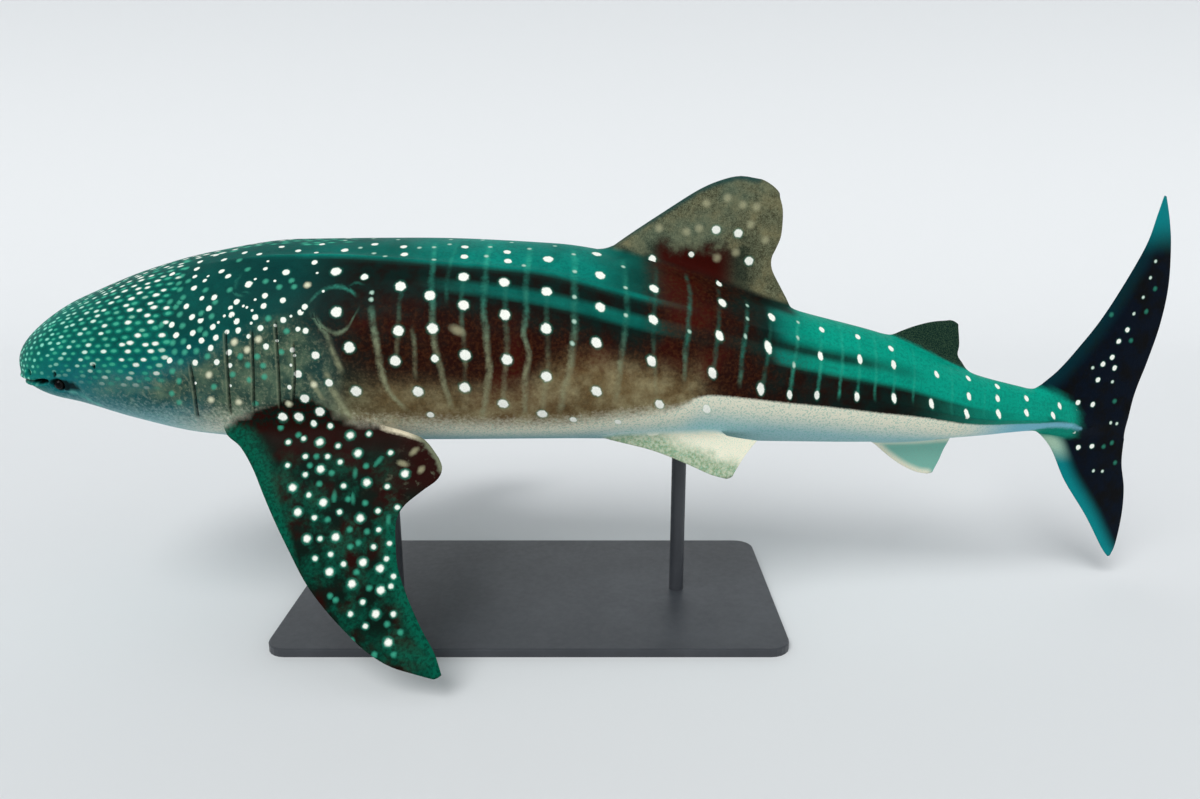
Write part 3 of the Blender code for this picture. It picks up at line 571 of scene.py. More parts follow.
def edgePoints(points, shares):
    # Smooth edge through flat points, read at shares of its length
    points = np.array(points, float)
    lengths = np.concatenate([[0.0], np.cumsum(np.linalg.norm(np.diff(points, axis=0), axis=1))])
    place = np.asarray(shares) * lengths[-1]
    i = np.clip(np.searchsorted(lengths, place, side="right") - 1, 0, len(points) - 2)
    t = ((place - lengths[i]) / (lengths[i + 1] - lengths[i]))[:, None]
    a, b = points[i], points[i + 1]
    leanIn = 0.5 * (b - points[np.maximum(i - 1, 0)])
    leanOut = 0.5 * (points[np.minimum(i + 2, len(points) - 1)] - a)
    return ((2 * t ** 3 - 3 * t ** 2 + 1) * a + (t ** 3 - 2 * t ** 2 + t) * leanIn
            + (3 * t ** 2 - 2 * t ** 3) * b + (t ** 3 - t ** 2) * leanOut)


def foilFullness(share):
    full = (0.2969 * np.sqrt(share) - 0.126 * share - 0.3516 * share ** 2
            + 0.2843 * share ** 3 - 0.1036 * share ** 4)
    return 10.0 * np.maximum(0.0, full)


def upright(a, b, offset):
    return a, offset, b


def drooping(form, which):
    def put(a, b, offset):
        angle = np.radians(form["droop"][which] + form["curl"] * np.maximum(0.0, b))
        side = form["side"] + b * np.cos(angle) + offset * np.sin(angle)
        height = form["height"] - b * np.sin(angle) + offset * np.cos(angle)
        return a, (1.0 if which else -1.0) * side, height
    return put


def makeFin(name, form, put):
    rows, columns = form["rows"], form["columns"]
    spans = np.linspace(0.0, 1.0, rows + 1)
    shares = 0.5 - 0.5 * np.cos(math.pi * np.linspace(0.0, 1.0, columns + 1))
    lead, trail = edgePoints(form["lead"], spans), edgePoints(form["trail"], spans)
    root = edgePoints(form["root"], shares)
    chord = lead[:, None] * (1 - shares[None, :, None]) + trail[:, None] * shares[None, :, None]
    bow = ((1.0 - spans) ** foil["bow"])[:, None, None]
    flat = chord + bow * (root - chord[0])[None]
    tipChord = chord[-1, -1] - chord[-1, 0]
    outwards = 0.5 * (lead[-1] + trail[-1] - lead[-4] - trail[-4])
    outwards /= np.linalg.norm(outwards)
    bulge = foil["tipBulge"] * np.linalg.norm(tipChord) * np.sqrt(4.0 * shares * (1.0 - shares))
    growing = np.clip((spans - foil["tipGrow"]) / (1.0 - foil["tipGrow"]), 0.0, 1.0) ** 2
    flat = flat + growing[:, None, None] * bulge[None, :, None] * outwards
    fullness = foilFullness(shares)
    thick = form["thick"] + (form["tip"] - form["thick"]) * spans ** foil["taper"]
    closing = np.clip((spans - foil["tipStart"]) / (1.0 - foil["tipStart"]), 0.0, 1.0)
    thick = thick * np.sqrt(1.0 - closing ** 2)
    half = 0.5 * thick[:, None] * fullness[None, :]
    a, b = flat[..., 0], flat[..., 1]
    station, side, height = put(a, b, np.zeros_like(a))
    outside = locate(station, side, height)[1]
    near = np.clip(1.0 - outside / form["flareReach"], 0.0, 1.6)
    half = half + form["flare"] * near ** 2 * np.sqrt(fullness)[None, :] * (closing < 1.0)[:, None]
    over = toFrame(*put(a, b, half)).reshape(-1, 3)
    under = toFrame(*put(a, b, -half)).reshape(-1, 3)
    index = np.arange((rows + 1) * (columns + 1)).reshape(rows + 1, columns + 1)
    other = index + index.size
    other[:, 0], other[:, -1], other[-1] = index[:, 0], index[:, -1], index[-1]   # welded edges
    faces = []
    for grid, turned in ((index, False), (other, True)):
        quads = np.stack([grid[:-1, :-1], grid[:-1, 1:], grid[1:, 1:], grid[1:, :-1]], axis=-1)
        for quad in quads.reshape(-1, 4):
            faces.append(list(quad[::-1] if turned else quad))
    for c in range(columns):
        faces.append([other[0, c], other[0, c + 1], index[0, c + 1], index[0, c]])
    shape = bmesh.new()
    vertices = [shape.verts.new(point) for point in np.concatenate([over, under])]
    for face in faces:
        corners = list(dict.fromkeys(int(i) for i in face))
        if len(corners) > 2:
            shape.faces.new([vertices[i] for i in corners])
    bmesh.ops.delete(shape, geom=[v for v in shape.verts if not v.link_faces], context="VERTS")
    bmesh.ops.triangulate(shape, faces=shape.faces[:], quad_method="SHORT_EDGE")
    bmesh.ops.recalc_face_normals(shape, faces=shape.faces[:])
    mesh = bpy.data.meshes.new(name)
    closed(shape, mesh)
    return makeObject(name, mesh)


def makeFins():
    fins = [makeFin(name, form, upright) for name, form in {**upperFins, **lowerFins}.items()]
    for name, form in pairedFins.items():
        for which, side in enumerate(("Left", "Right")):
            fins.append(makeFin(name + side, form, drooping(form, which)))
    return fins


# One skin: the fins are joined to the body, and the joins are smoothed into fillets

joining = {"reach": 0.055, "spread": 24, "rounds": 26, "pull": 0.55, "weld": 0.0006, "same": 2e4}


def pointsOf(mesh):
    points = np.zeros(len(mesh.vertices) * 3, np.float32)
    mesh.vertices.foreach_get("co", points)
    return points.reshape(-1, 3).astype(float)


def joinSkin(target, fins):
    known = np.concatenate([pointsOf(item.data) for item in [target] + fins])
    for fin in fins:
        change = target.modifiers.new(fin.name, "BOOLEAN")
        change.operation = "UNION"
        change.solver = "MANIFOLD"
        change.object = fin
    bpy.context.view_layer.update()
    mesh = bpy.data.meshes.new_from_object(target.evaluated_get(bpy.context.evaluated_depsgraph_get()))
    for item in [target] + fins:
        bpy.data.objects.remove(item, do_unlink=True)
    shape = opened(mesh)
    bmesh.ops.triangulate(shape, faces=shape.faces[:])
    seen = {tuple(key) for key in np.round(known * joining["same"]).astype(int)}
    marks = shape.verts.layers.float.new("joint")
    joint = [v for v in shape.verts if tuple(int(round(c * joining["same"])) for c in v.co) not in seen]
    for vertex in joint:
        vertex[marks] = 1.0
    bmesh.ops.remove_doubles(shape, verts=joint, dist=joining["weld"])
    closed(shape, mesh)
    mesh.name = "skin"
    return mesh


def smoothJoins(mesh):
    points = pointsOf(mesh)
    marks = readLayer(mesh, "joint") > 0.5
    mesh.attributes.remove(mesh.attributes["joint"])
    a, b = edgeEnds(mesh).T
    # Distance from the nearest join, spread edge by edge
    far = np.where(marks, 0.0, 9.0)
    length = np.linalg.norm(points[a] - points[b], axis=1)
    for step in range(joining["spread"]):
        np.minimum.at(far, a, far[b] + length)
        np.minimum.at(far, b, far[a] + length)
    weight = joining["pull"] * smooth(joining["reach"], 0.35 * joining["reach"], far)
    count = np.bincount(a, minlength=len(points)) + np.bincount(b, minlength=len(points))
    for step in range(joining["rounds"]):
        total = np.zeros_like(points)
        np.add.at(total, a, points[b])
        np.add.at(total, b, points[a])
        points += weight[:, None] * (total / count[:, None] - points)
    setPositions(mesh, points)


bodyPiece = makeBody()
print("body:", len(bodyPiece.data.polygons), "triangles")
finPieces = makeFins()
print("fins:", sum(len(item.data.polygons) for item in finPieces), "triangles")
skinMesh = joinSkin(bodyPiece, finPieces)
smoothJoins(skinMesh)
print("skin:", len(skinMesh.polygons), "triangles")


# Markings: where the pale spots and bars lie, as station and distance round from the back

spots = {
    # Groups: radius, tone, and places as station and distance round from the back, or in the fin's own
    # plane. A tone under 0.6 is teal, 1 is white, 1.2 cream and 1.5 faint sand
    "flank": (
        (.029, 1, (
            (2.39, .54), (2.39, .79), (2.37, .95), (2.48, 1.12), (2.55, .59), (2.57, .77), (2.72, .46),
            (2.73, .63), (2.74, .9), (2.73, 1.08), (2.94, .47), (2.95, .66), (2.96, .9), (2.93, 1.16),
            (3.17, .26), (3.17, .5), (3.17, .71), (3.17, .97), (3.14, 1.21), (3.44, .12), (3.46, .33),
            (3.46, .54), (3.44, .74), (3.44, 1.01), (3.76, .33), (3.75, .53), (3.74, .76), (3.79, 1),
            (4.15, .26), (4.12, .49), (4.08, .71), (4.06, .94), (4.44, .22), (4.4, .44), (4.36, .69),
            (2.06, .69), (2.13, .88), (2.15, 1.12), (2.03, .44),
        )),
        (.025, 1, ((1.87, 1.16), (1.94, 1.24), (1.735, 1.268), (1.822, 1.268))),
        (.026, 1.5, ((2.7, .77, 1.7, 1.2),)),
        (.021, 1, (
            (4.53, .655), (3.31, 1.235), (3.56, 1.2), (3.764, .02), (4.15, .075), (1.57, .51), (1.76, .44),
            (1.85, 1.02), (1.95, .92), (2.01, 1.07),
        )),
        (.0165, 1, (
            (1.198, .733), (1.09, .31), (1.16, .86), (1.17, .67), (1.22, .23), (1.23, .31), (1.24, .58),
            (1.26, .47), (1.28, .65), (1.29, .17), (1.29, .74), (1.3, .9), (1.33, .68), (1.34, .79),
            (1.37, .27), (1.37, .62), (1.39, .38), (1.39, .56), (1.39, .84), (1.4, .73), (1.42, .79),
            (1.42, .92), (1.44, .43), (1.47, .22), (1.49, .88), (1.5, .68), (1.52, .61), (1.53, .72),
            (1.54, .77), (1.57, .27), (1.63, .71), (1.66, .77), (1.67, .19), (1.67, .59), (1.67, .65),
            (1.69, .87), (1.77, .62), (1.78, .25), (1.78, .73), (1.87, .69), (1.89, .16), (1.89, .66),
            (1.9, .37), (1.9, .79),
        )),
        (.013, .95, (
            (1.24, .38), (1.27, .81), (1.31, .43), (1.32, .55), (1.48, .77), (1.49, .64), (1.49, .95),
            (1.6, .81), (1.64, .41), (1.8, 1.09), (1.83, .89), (1.86, .78), (1.89, .28),
        )),
        (.019, 1.2, (
            (1.36, 1.12), (1.37, .98), (1.51, 1.16), (1.52, .83), (1.59, .88), (1.65, .83), (1.89, .53),
            (1.93, 1.08), (1.78, 1.19),
        )),
        (.016, .6, (
            (1.231, .688), (1.239, .774), (1.196, .546), (1.211, .407), (1.246, .833), (1.112, .659),
            (1.12, .18), (1.14, .53), (1.15, 1.04), (1.16, .28), (1.16, .35), (1.16, .41), (1.17, .92),
            (1.18, .46), (1.18, .57), (1.18, .77), (1.18, 1.1), (1.19, .82), (1.2, .98), (1.21, .52),
            (1.21, .62), (1.22, .88), (1.31, .84), (1.33, .5), (1.33, .64), (1.33, .73), (1.36, .76),
            (1.37, .88), (1.39, .67), (1.39, 1.05), (1.4, .59), (1.47, .31), (1.47, .53), (1.5, 1),
            (1.54, .4), (1.55, .91), (1.59, .96), (1.59, 1.04), (1.6, 1.18), (1.64, .92), (1.66, .5),
            (1.67, .97), (1.67, 1.03), (1.7, .72), (1.74, .54), (1.77, .9), (1.8, .5), (1.8, .79),
            (1.82, .54),
        )),
        (.008, .9, (
            (1.29, 1.01), (1.32, .4), (1.43, .71), (1.46, .68), (1.48, 1.06), (1.56, .64), (1.58, .65),
            (1.6, .48), (1.61, .67), (1.61, .74), (1.62, .61), (1.64, .35), (1.71, .5), (1.74, .76),
            (1.75, .84), (1.82, .71), (1.82, .97), (1.84, .92), (1.93, .45), (1.98, .57),
        )),
        (.021, 1, (
            (2.58, .93), (2.53, 1.27), (2.19, .48), (4.74, .18), (4.71, .37), (4.69, .6), (4.96, .15),
            (4.95, .31), (4.93, .53), (5.16, .16), (5.16, .27), (5.16, .46), (5.44, .2), (5.4, .39),
            (5.67, .1), (5.65, .23), (5.63, .34), (5.87, .08), (5.85, .17), (5.85, .26), (6.06, .11),
            (6.05, .2), (6.25, .16), (6.31, .08), (2.36, .21), (2.38, .3), (2.7, .19), (2.71, .3),
            (2.94, .22), (2.95, .31), (2.19, .17), (2.04, .25),
        )),
        (.013, .75, (
            (2.24, .62), (2.21, .29), (2.53, .21), (2.55, .35), (3.31, .18), (3.32, .34), (3.32, .51),
            (3.32, .65), (3.31, .77), (3.59, .21), (3.6, .38), (3.6, .55), (3.95, .53), (4.3, .2),
            (4.29, .31), (4.27, .43), (4.6, .18), (4.58, .31), (4.55, .48), (2.24, .58), (2.84, .17),
            (2.83, .28), (3.06, .16), (3.04, .34), (2.28, .33), (2.12, .22), (2.45, .22), (2.61, .16),
            (2, .08), (2.3, .07), (2.6, .05), (2.95, .06), (3.2, .08), (2.15, .03), (2.78, .03),
        )),
    ),
    "dorsal": (
        (.025, 1, ((4.13, .63), (4.26, .61), (4.33, .45))),
        (.016, 1, ((3.99, .49),)),
        (.022, 1, ((3.761, .465),)),
        (.026, 1.5, (
            (3.8, .64), (4.07, .78), (4.28, .77), (4.36, .76), (4.19, .81), (4.14, .47), (3.96, .62),
            (4.03, .64), (4.33, .66), (4.42, .57), (4.25, .5),
        )),
    ),
    "tail": (
        (.017, .9, (
            (6.46, -.45), (6.57, -.47), (6.58, -.31), (6.6, -.21), (6.66, -.17), (6.69, -.24), (6.69, -.07),
            (6.74, -0), (6.51, -.75), (6.61, -.75),
        )),
        (.011, .8, (
            (6.44, -.5), (6.69, -.33), (6.53, -.23), (6.77, .1), (6.82, .2), (6.85, .32), (6.87, .42),
            (6.72, -.6), (6.77, -.61), (6.45, -.64), (6.65, -.92), (6.72, -.93),
        )),
        (.015, .32, (
            (6.9, .25), (6.78, -.07), (6.86, .11), (6.61, .1), (6.73, -.46), (6.7, -.76), (6.76, -.74),
            (6.81, -.88),
        )),
    ),
    "pectoral": (
        (.023, 1, (
            (1.94, .15), (2.15, .21), (2.21, .37), (1.96, .3), (1.82, .4), (1.99, .48), (1.86, .53),
            (2.19, .56), (2.07, .66), (1.92, .67), (2.22, .79), (2.05, .84), (2.17, .9), (2.3, 1.05),
            (2.32, .93), (2.31, .82), (2.37, 1.19), (2.41, .32), (2.1, .11),
        )),
        (.016, .86, (
            (2.325, .205), (1.9, .05), (1.99, .06), (1.77, .15), (1.85, .13), (2.04, .17), (2.2, .1),
            (1.87, .23), (1.99, .23), (2.06, .26), (1.78, .28), (1.88, .33), (1.91, .44), (2.09, .39),
            (2.32, .39), (2.28, .52), (2.38, .5), (1.95, .56), (2.08, .53), (1.99, .67), (2.27, .71),
            (2.29, .62), (2.35, .69), (2.05, .75), (1.97, .77), (2.12, .8), (2.38, .86), (2.34, .77),
            (2.23, .99), (2.17, 1.05), (2.39, 1.05), (2.25, 1.11), (2.37, .91),
        )),
        (.012, .34, (
            (2.045, .45, 2.6, 0), (2.145, .32, 2, 0), (2.142, .455, 2.5, .2), (2.263, .254, 3, -.65),
            (2.337, .565, 2.4, 0),
        )),
        (.018, 1.5, ((2.45, .195, 1.8, -.8), (2.395, .264, 1.9, 1.3), (2.495, .295, 1.4, -.6))),
        (.027, 1, ((1.737, .012), (1.824, .012))),
        (.014, .55, (
            (1.93, .23), (2.02, .32), (2.2, .28), (1.96, .38), (2.02, .57), (2.21, .48), (2.14, .62),
            (2.23, .63), (2.15, .71), (2.19, .84), (2.26, .92), (2.06, .96), (2.36, 1.1), (2.43, 1.14),
            (2.19, .69), (2.09, .98), (2.18, 1.18), (2.3, 1.25), (2.4, 1.25), (1.82, .11), (1.72, .07),
            (1.9, .28), (2.12, .46),
        )),
    ),
    "scatter": 0.008,      # how far the right side's spots stray from a mirror image
    "slim": 0.26, "tall": 0.35,      # how narrow and tall the flank's spots grow towards the tail
    "seed": 7,
}

bars = {
    # Groups: half width, strength, and points as distance round from the back and station
    "flank": (
        (.01, .6, ((.44, 1.515), (.475, 1.497), (.515, 1.497))),
        (.015, .7, ((.7, 1.93), (.765, 1.976), (.813, 2.014), (.882, 2.039), (.935, 2.058), (1, 2.08))),
        (.017, 1, ((1.02, 2), (1.089, 2.019), (1.159, 2.048), (1.244, 2.083), (1.31, 2.13))),
        (.014, .7, ((1.03, 1.905), (1.122, 1.946), (1.18, 1.975))),
        (.016, .75, ((.67, 2.24), (.723, 2.25), (.893, 2.281), (1.05, 2.3), (1.148, 2.34), (1.24, 2.41))),
        (.012, .5, ((.79, 2.465), (.9, 2.475), (1.02, 2.47))),
        (.012, .3, ((.56, 2.4), (.66, 2.39), (.78, 2.39), (.94, 2.375))),
        (.015, .62, (
            (.16, 2.53), (.4, 2.55), (.55, 2.555), (.66, 2.57), (.8, 2.575), (.93, 2.595), (1.2, 2.65),
        )),
        (.011, .32, ((.12, 2.655), (.25, 2.65), (.41, 2.64), (.5, 2.635), (.62, 2.64))),
        (.012, .34, ((.46, 2.725), (.62, 2.72), (.78, 2.73), (.9, 2.74), (1.06, 2.73))),
        (.016, .66, (
            (.12, 2.84), (.4, 2.835), (.58, 2.835), (.68, 2.84), (.8, 2.855), (.95, 2.865), (1.1, 2.845),
            (1.26, 2.815),
        )),
        (.014, .38, ((.48, 2.945), (.68, 2.955), (.85, 2.96), (1, 2.945), (1.2, 2.93))),
        (.015, .66, (
            (.14, 3.07), (.34, 3.06), (.5, 3.055), (.62, 3.065), (.75, 3.05), (.85, 3.08), (.98, 3.06),
            (1.22, 3.045),
        )),
        (.013, .3, ((.52, 3.17), (.72, 3.175), (.9, 3.18), (1.05, 3.16), (1.22, 3.14))),
        (.017, .55, (
            (.12, 3.31), (.34, 3.32), (.5, 3.32), (.65, 3.325), (.8, 3.31), (.98, 3.28), (1.18, 3.23),
        )),
        (.015, .48, ((.12, 3.59), (.36, 3.6), (.5, 3.605), (.65, 3.59), (.8, 3.573), (1.04, 3.545))),
        (.013, .55, ((.1, 3.955), (.25, 3.965), (.4, 3.952), (.52, 3.945), (.7, 3.925), (.8, 3.92))),
        (.012, .28, ((.12, 3.78), (.34, 3.77), (.6, 3.75), (.95, 3.77))),
        (.012, .3, ((.14, 4.14), (.4, 4.12), (.7, 4.085))),
        (.012, .5, ((.16, 4.3), (.3, 4.29), (.43, 4.27), (.57, 4.248), (.72, 4.235))),
        (.011, .3, ((.14, 4.44), (.4, 4.41), (.66, 4.37))),
        (.011, .55, ((.12, 4.61), (.31, 4.58), (.48, 4.551), (.66, 4.526))),
        (.01, .4, ((.1, 4.75), (.3, 4.72), (.45, 4.705), (.6, 4.69))),
        (.009, .45, ((.08, 4.86), (.3, 4.845), (.57, 4.82))),
        (.009, .3, ((.1, 4.96), (.3, 4.95), (.52, 4.93))),
        (.009, .38, ((.08, 5.07), (.3, 5.05), (.5, 5.04))),
        (.009, .3, ((.1, 5.18), (.3, 5.165), (.47, 5.15))),
        (.008, .32, ((.08, 5.31), (.28, 5.29), (.43, 5.28))),
        (.008, .28, ((.06, 5.56), (.22, 5.54), (.38, 5.53))),
        (.008, .25, ((.06, 5.77), (.18, 5.76), (.3, 5.75))),
    ),
    # The same for curves that run along the body, as station and distance
    "along": (
        (.013, 1, ((1.91, .635), (1.953, .58), (2.003, .551), (2.055, .539), (2.111, .557), (2.16, .6))),
        (.012, .6, ((1.95, .71), (2, .78), (2.06, .805), (2.11, .785), (2.15, .73), (2.175, .66))),
        (.008, .35, ((2.11, .545), (2.15, .515), (2.19, .53))),
        (.009, .6, ((1.478, .536), (1.516, .567), (1.553, .581))),
        (.008, .55, ((1.543, .555), (1.596, .57))),
    ),
}


chunk = 8000      # rows worked out at a time


def nearestSpot(a, b, groups, stray=0.0, slimming=0.0):
    # Offset of each triangle's corners from its nearest spot, in shares of the radius, and that spot's tone
    # A place may go on with how many times longer than wide its spot is, and how it leans
    table = np.array([tuple(place[:2]) + (radius, tone) + (tuple(place[2:]) or (1.0, 0.0))
                      for radius, tone, places in groups for place in places])
    random = np.random.default_rng(spots["seed"])
    table[:, :2] += random.normal(0.0, 1.0, (len(table), 2)) * stray
    middleA, middleB = a.mean(axis=1), b.mean(axis=1)
    best = np.zeros(len(a), int)
    for start in range(0, len(a), chunk):
        part = slice(start, start + chunk)
        gap = np.hypot(middleA[part, None] - table[None, :, 0], middleB[part, None] - table[None, :, 1])
        best[part] = (gap - table[None, :, 2]).argmin(axis=1)
    x, y, radius, tone, stretch, lean = (table[best, k][:, None] for k in range(6))
    # Spots of the flank grow narrow and tall towards the tail
    slim = 1.0 - slimming * spots["slim"] * smooth(3.2, 4.6, x)
    tall = 1.0 + slimming * spots["tall"] * smooth(3.9, 4.5, x) * smooth(0.12, 0.40, np.abs(y))
    offA, offB = a - x, b - y
    wide = (offA * np.cos(lean) - offB * np.sin(lean)) / (radius * slim)
    long = (offA * np.sin(lean) + offB * np.cos(lean)) / (radius * tall * stretch)
    return np.stack([wide, long, np.broadcast_to(tone, a.shape)], axis=2)


def nearestBar(station, arc):
    found = np.zeros(station.shape + (3,))
    nearest = np.full(len(station), 6.0)
    found[..., 0] = 9.0

    def take(offset, strength):
        middle = np.abs(offset.mean(axis=1))
        closer = (middle < nearest) & (strength.max(axis=1) > 0.0)
        nearest[closer] = middle[closer]
        found[closer] = np.stack([offset, arc, strength], axis=2)[closer]

    for width, strength, points in bars["flank"]:
        first, last = points[0][0], points[-1][0]
        ends = smooth(first - 0.03, first + 0.03, arc) * smooth(last + 0.03, last - 0.03, arc)
        take((station - readCurve(points, arc)) / width, strength * ends)
    for width, strength, points in bars["along"]:
        first, last = points[0][0], points[-1][0]
        ends = smooth(first - 0.01, first + 0.03, station) * smooth(last + 0.01, last - 0.03, station)
        take((arc - readCurve(points, station)) / width, strength * ends)
    return found


# Head pattern: rows of cells that run back from the snout

cells = {
    # Rows round each half of the head with their stations, and where spots grow from aqua to white
    "zones": ((26, 0.125, 0.22), (34, 0.22, 0.42), (44, 0.42, 9.0)), "bright": (0.35, 1.0),
    "gapAlong": ((0.08, 0.026), (0.2, 0.034), (0.35, 0.044), (0.6, 0.056), (1.0, 0.068), (1.6, 0.080),
                 (2.4, 0.095)),
    "lean": 0.5,           # each row starts this share of a gap behind its neighbour
    "loose": 0.42,         # how far spots stray from their rows
    "flankEnd": 1.150, "backEnd": 2.05, "backShare": 0.085, "thinning": (1.35, 1.75),
    "dark": (1.95, 2.15),  # where the dark ground of the head ends, on the flank and on the back
    "cap": {"end": 0.125, "across": 0.030, "tall": 0.027},    # small spots on the front of the snout
}


def gapsBehindSnout(station):
    fine = np.linspace(0.05, 3.0, 600)
    count = np.cumsum(np.diff(fine) / readCurve(cells["gapAlong"], 0.5 * (fine[1:] + fine[:-1])))
    return np.interp(station, fine[1:], count)


def shareAround(station, turn):
    whole = arcAt(station, np.full_like(station, 180.0))
    return np.sign(turn) * arcAt(station, turn) / np.maximum(0.02, whole)


tones = {
    # How far each tone comes in at a station
    "headTeal": ((0.08, 0.94), (0.22, 0.70), (0.45, 0.50), (0.7, 0.38), (1.0, 0.28), (1.4, 0.20),
                 (2.2, 0.05)),
    # backTeal and secondBand: the skin's teal, laid brighter as painted light from above on the upward-facing
    # slopes over ridges A and B
    "backTeal": ((1.2, 0.30), (1.9, 0.45), (2.3, 0.72), (2.8, 1.0), (3.35, 0.95), (3.55, 0.60),
                 (3.75, 0.18), (3.95, 0.0), (4.40, 0.05), (4.50, 0.80), (4.65, 1.0), (6.6, 1.0)),
    # Painted highlight along the crest of ridge A
    "ridgeHighlight": ((1.35, 0.0), (1.55, 0.55), (1.9, 0.90), (3.6, 0.95), (3.85, 0.60), (4.02, 0.0)),
    "secondBand": ((2.45, 0.0), (2.75, 0.35), (3.0, 0.52), (3.7, 0.60), (3.9, 0.40), (4.02, 0.08),
                   (4.38, 0.08), (4.48, 0.95), (6.6, 0.95)),
    # Painted shade: a dark stripe on the sideways-facing skin under ridge A
    "ridgeShade": ((4.3, 0.0), (4.45, 0.92), (4.85, 0.88), (5.15, 0.45), (5.4, 0.0)),
    "tailBand": ((3.9, 0.0), (4.3, 1.0), (5.2, 0.95), (5.6, 0.6), (6.1, 0.25), (6.4, 0.1)),
    "warm": ((1.7, 0.0), (2.1, 0.50), (2.5, 0.78), (3.0, 0.95), (4.2, 0.95), (4.42, 0.42), (4.7, 0.12),
             (5.0, 0.0)),
    "warmBack": ((3.68, 0.0), (3.86, 0.90), (4.08, 0.90), (4.24, 0.35), (4.42, 0.0)),
    "tan": ((1.0, 0.0), (1.6, 0.25), (2.0, 0.45), (2.4, 0.62), (2.8, 0.55), (3.2, 0.55), (3.6, 0.72),
            (3.85, 0.66), (4.05, 0.15), (4.2, 0.0)),
    "tanTop": ((1.6, 1.08), (2.0, 1.12), (2.4, 1.10), (2.8, 1.11), (3.05, 1.06), (3.2, 0.92), (3.35, 0.86),
               (3.6, 0.84), (3.9, 0.80)),
    "greyTop": ((0.7, 0.80), (1.0, 0.95), (1.25, 0.92), (1.45, 0.86), (1.6, 0.81), (1.74, 0.76),
                (1.9, 0.80), (2.1, 1.0)),
    "grey": ((0.5, 0.0), (0.85, 0.50), (1.2, 0.92), (1.85, 0.88), (2.05, 0.35), (2.3, 0.0)),
    "bellyEdge": ((0.08, 0.62), (0.5, 0.92), (0.9, 1.13), (1.3, 1.26), (2.0, 1.34), (2.6, 1.34),
                  (3.2, 1.28), (3.6, 1.13), (3.9, 0.98), (4.03, 0.865), (4.3, 0.776), (4.72, 0.658),
                  (5.15, 0.565), (5.5, 0.45), (5.87, 0.325), (6.3, 0.18), (6.6, 0.03)),
    "keelBand": ((5.9, 0.30), (6.05, 0.15), (6.2, 0.058), (6.35, 0.040), (6.46, 0.022), (6.53, 0.004)),
    "bellySoft": ((0.1, 0.12), (1.2, 0.16), (2.4, 0.10), (3.6, 0.075), (3.9, 0.04), (4.05, 0.010),
                  (6.6, 0.008)),
    # Distances round from the back: where the head's rows of spots end, where the painted blue water light on
    # the head's lower side begins, and where the painted shade under the pectoral root begins
    "rowsLow": ((0.08, 0.95), (0.4, 0.66), (0.8, 0.86), (1.3, 1.0), (1.9, 1.1)),
    "cheekWaterLightTop": ((0.08, 0.75), (0.5, 0.78), (0.9, 0.95), (1.3, 0.98), (1.8, 1.0)),
    "rootShadeTop": ((1.40, 1.29), (1.57, 1.227), (1.71, 1.189), (1.79, 1.156), (1.87, 1.146), (1.94, 1.194),
                (2.02, 1.244), (2.105, 1.316), (2.175, 1.368), (2.24, 1.41)),
    # How far the painted blue water light on the head's lower side comes in
    "cheekWaterLight": ((0.08, 0.0), (0.35, 0.42), (0.7, 0.68), (1.1, 0.70), (1.5, 0.50), (1.9, 0.30), (2.1, 0.0)),
}


finPlaces = {
    # Distance outside the body where each begins and is whole, then its stations, heights and reach to
    # the side
    "dorsal": (0.012, 0.045, (3.3, 4.7), (-0.1, 9.0), (-1.0, 0.13)),
    "second": (0.004, 0.020, (5.05, 5.8), (-0.3, 9.0), (-1.0, 0.13)),
    "anal": (0.004, 0.020, (5.0, 5.75), (-9.0, -0.5), (-1.0, 0.13)),
    "tail": (0.010, 0.050, (5.95, 9.0), (-9.0, 9.0), (-1.0, 0.13)),
    "pectoral": (0.016, 0.060, (1.30, 2.8), (-9.0, -0.22), (0.30, 9.0)),
    "pelvic": (0.006, 0.022, (3.25, 4.45), (-9.0, -0.42), (0.05, 9.0)),
}


def finShare(name, station, side, height, outside):
    begins, whole, *ranges = finPlaces[name]
    inside = np.ones(len(station), bool)
    for value, (low, high) in zip((station, height, np.abs(side)), ranges):
        inside &= (value > low) & (value < high)
    return smooth(begins, whole, outside) * inside


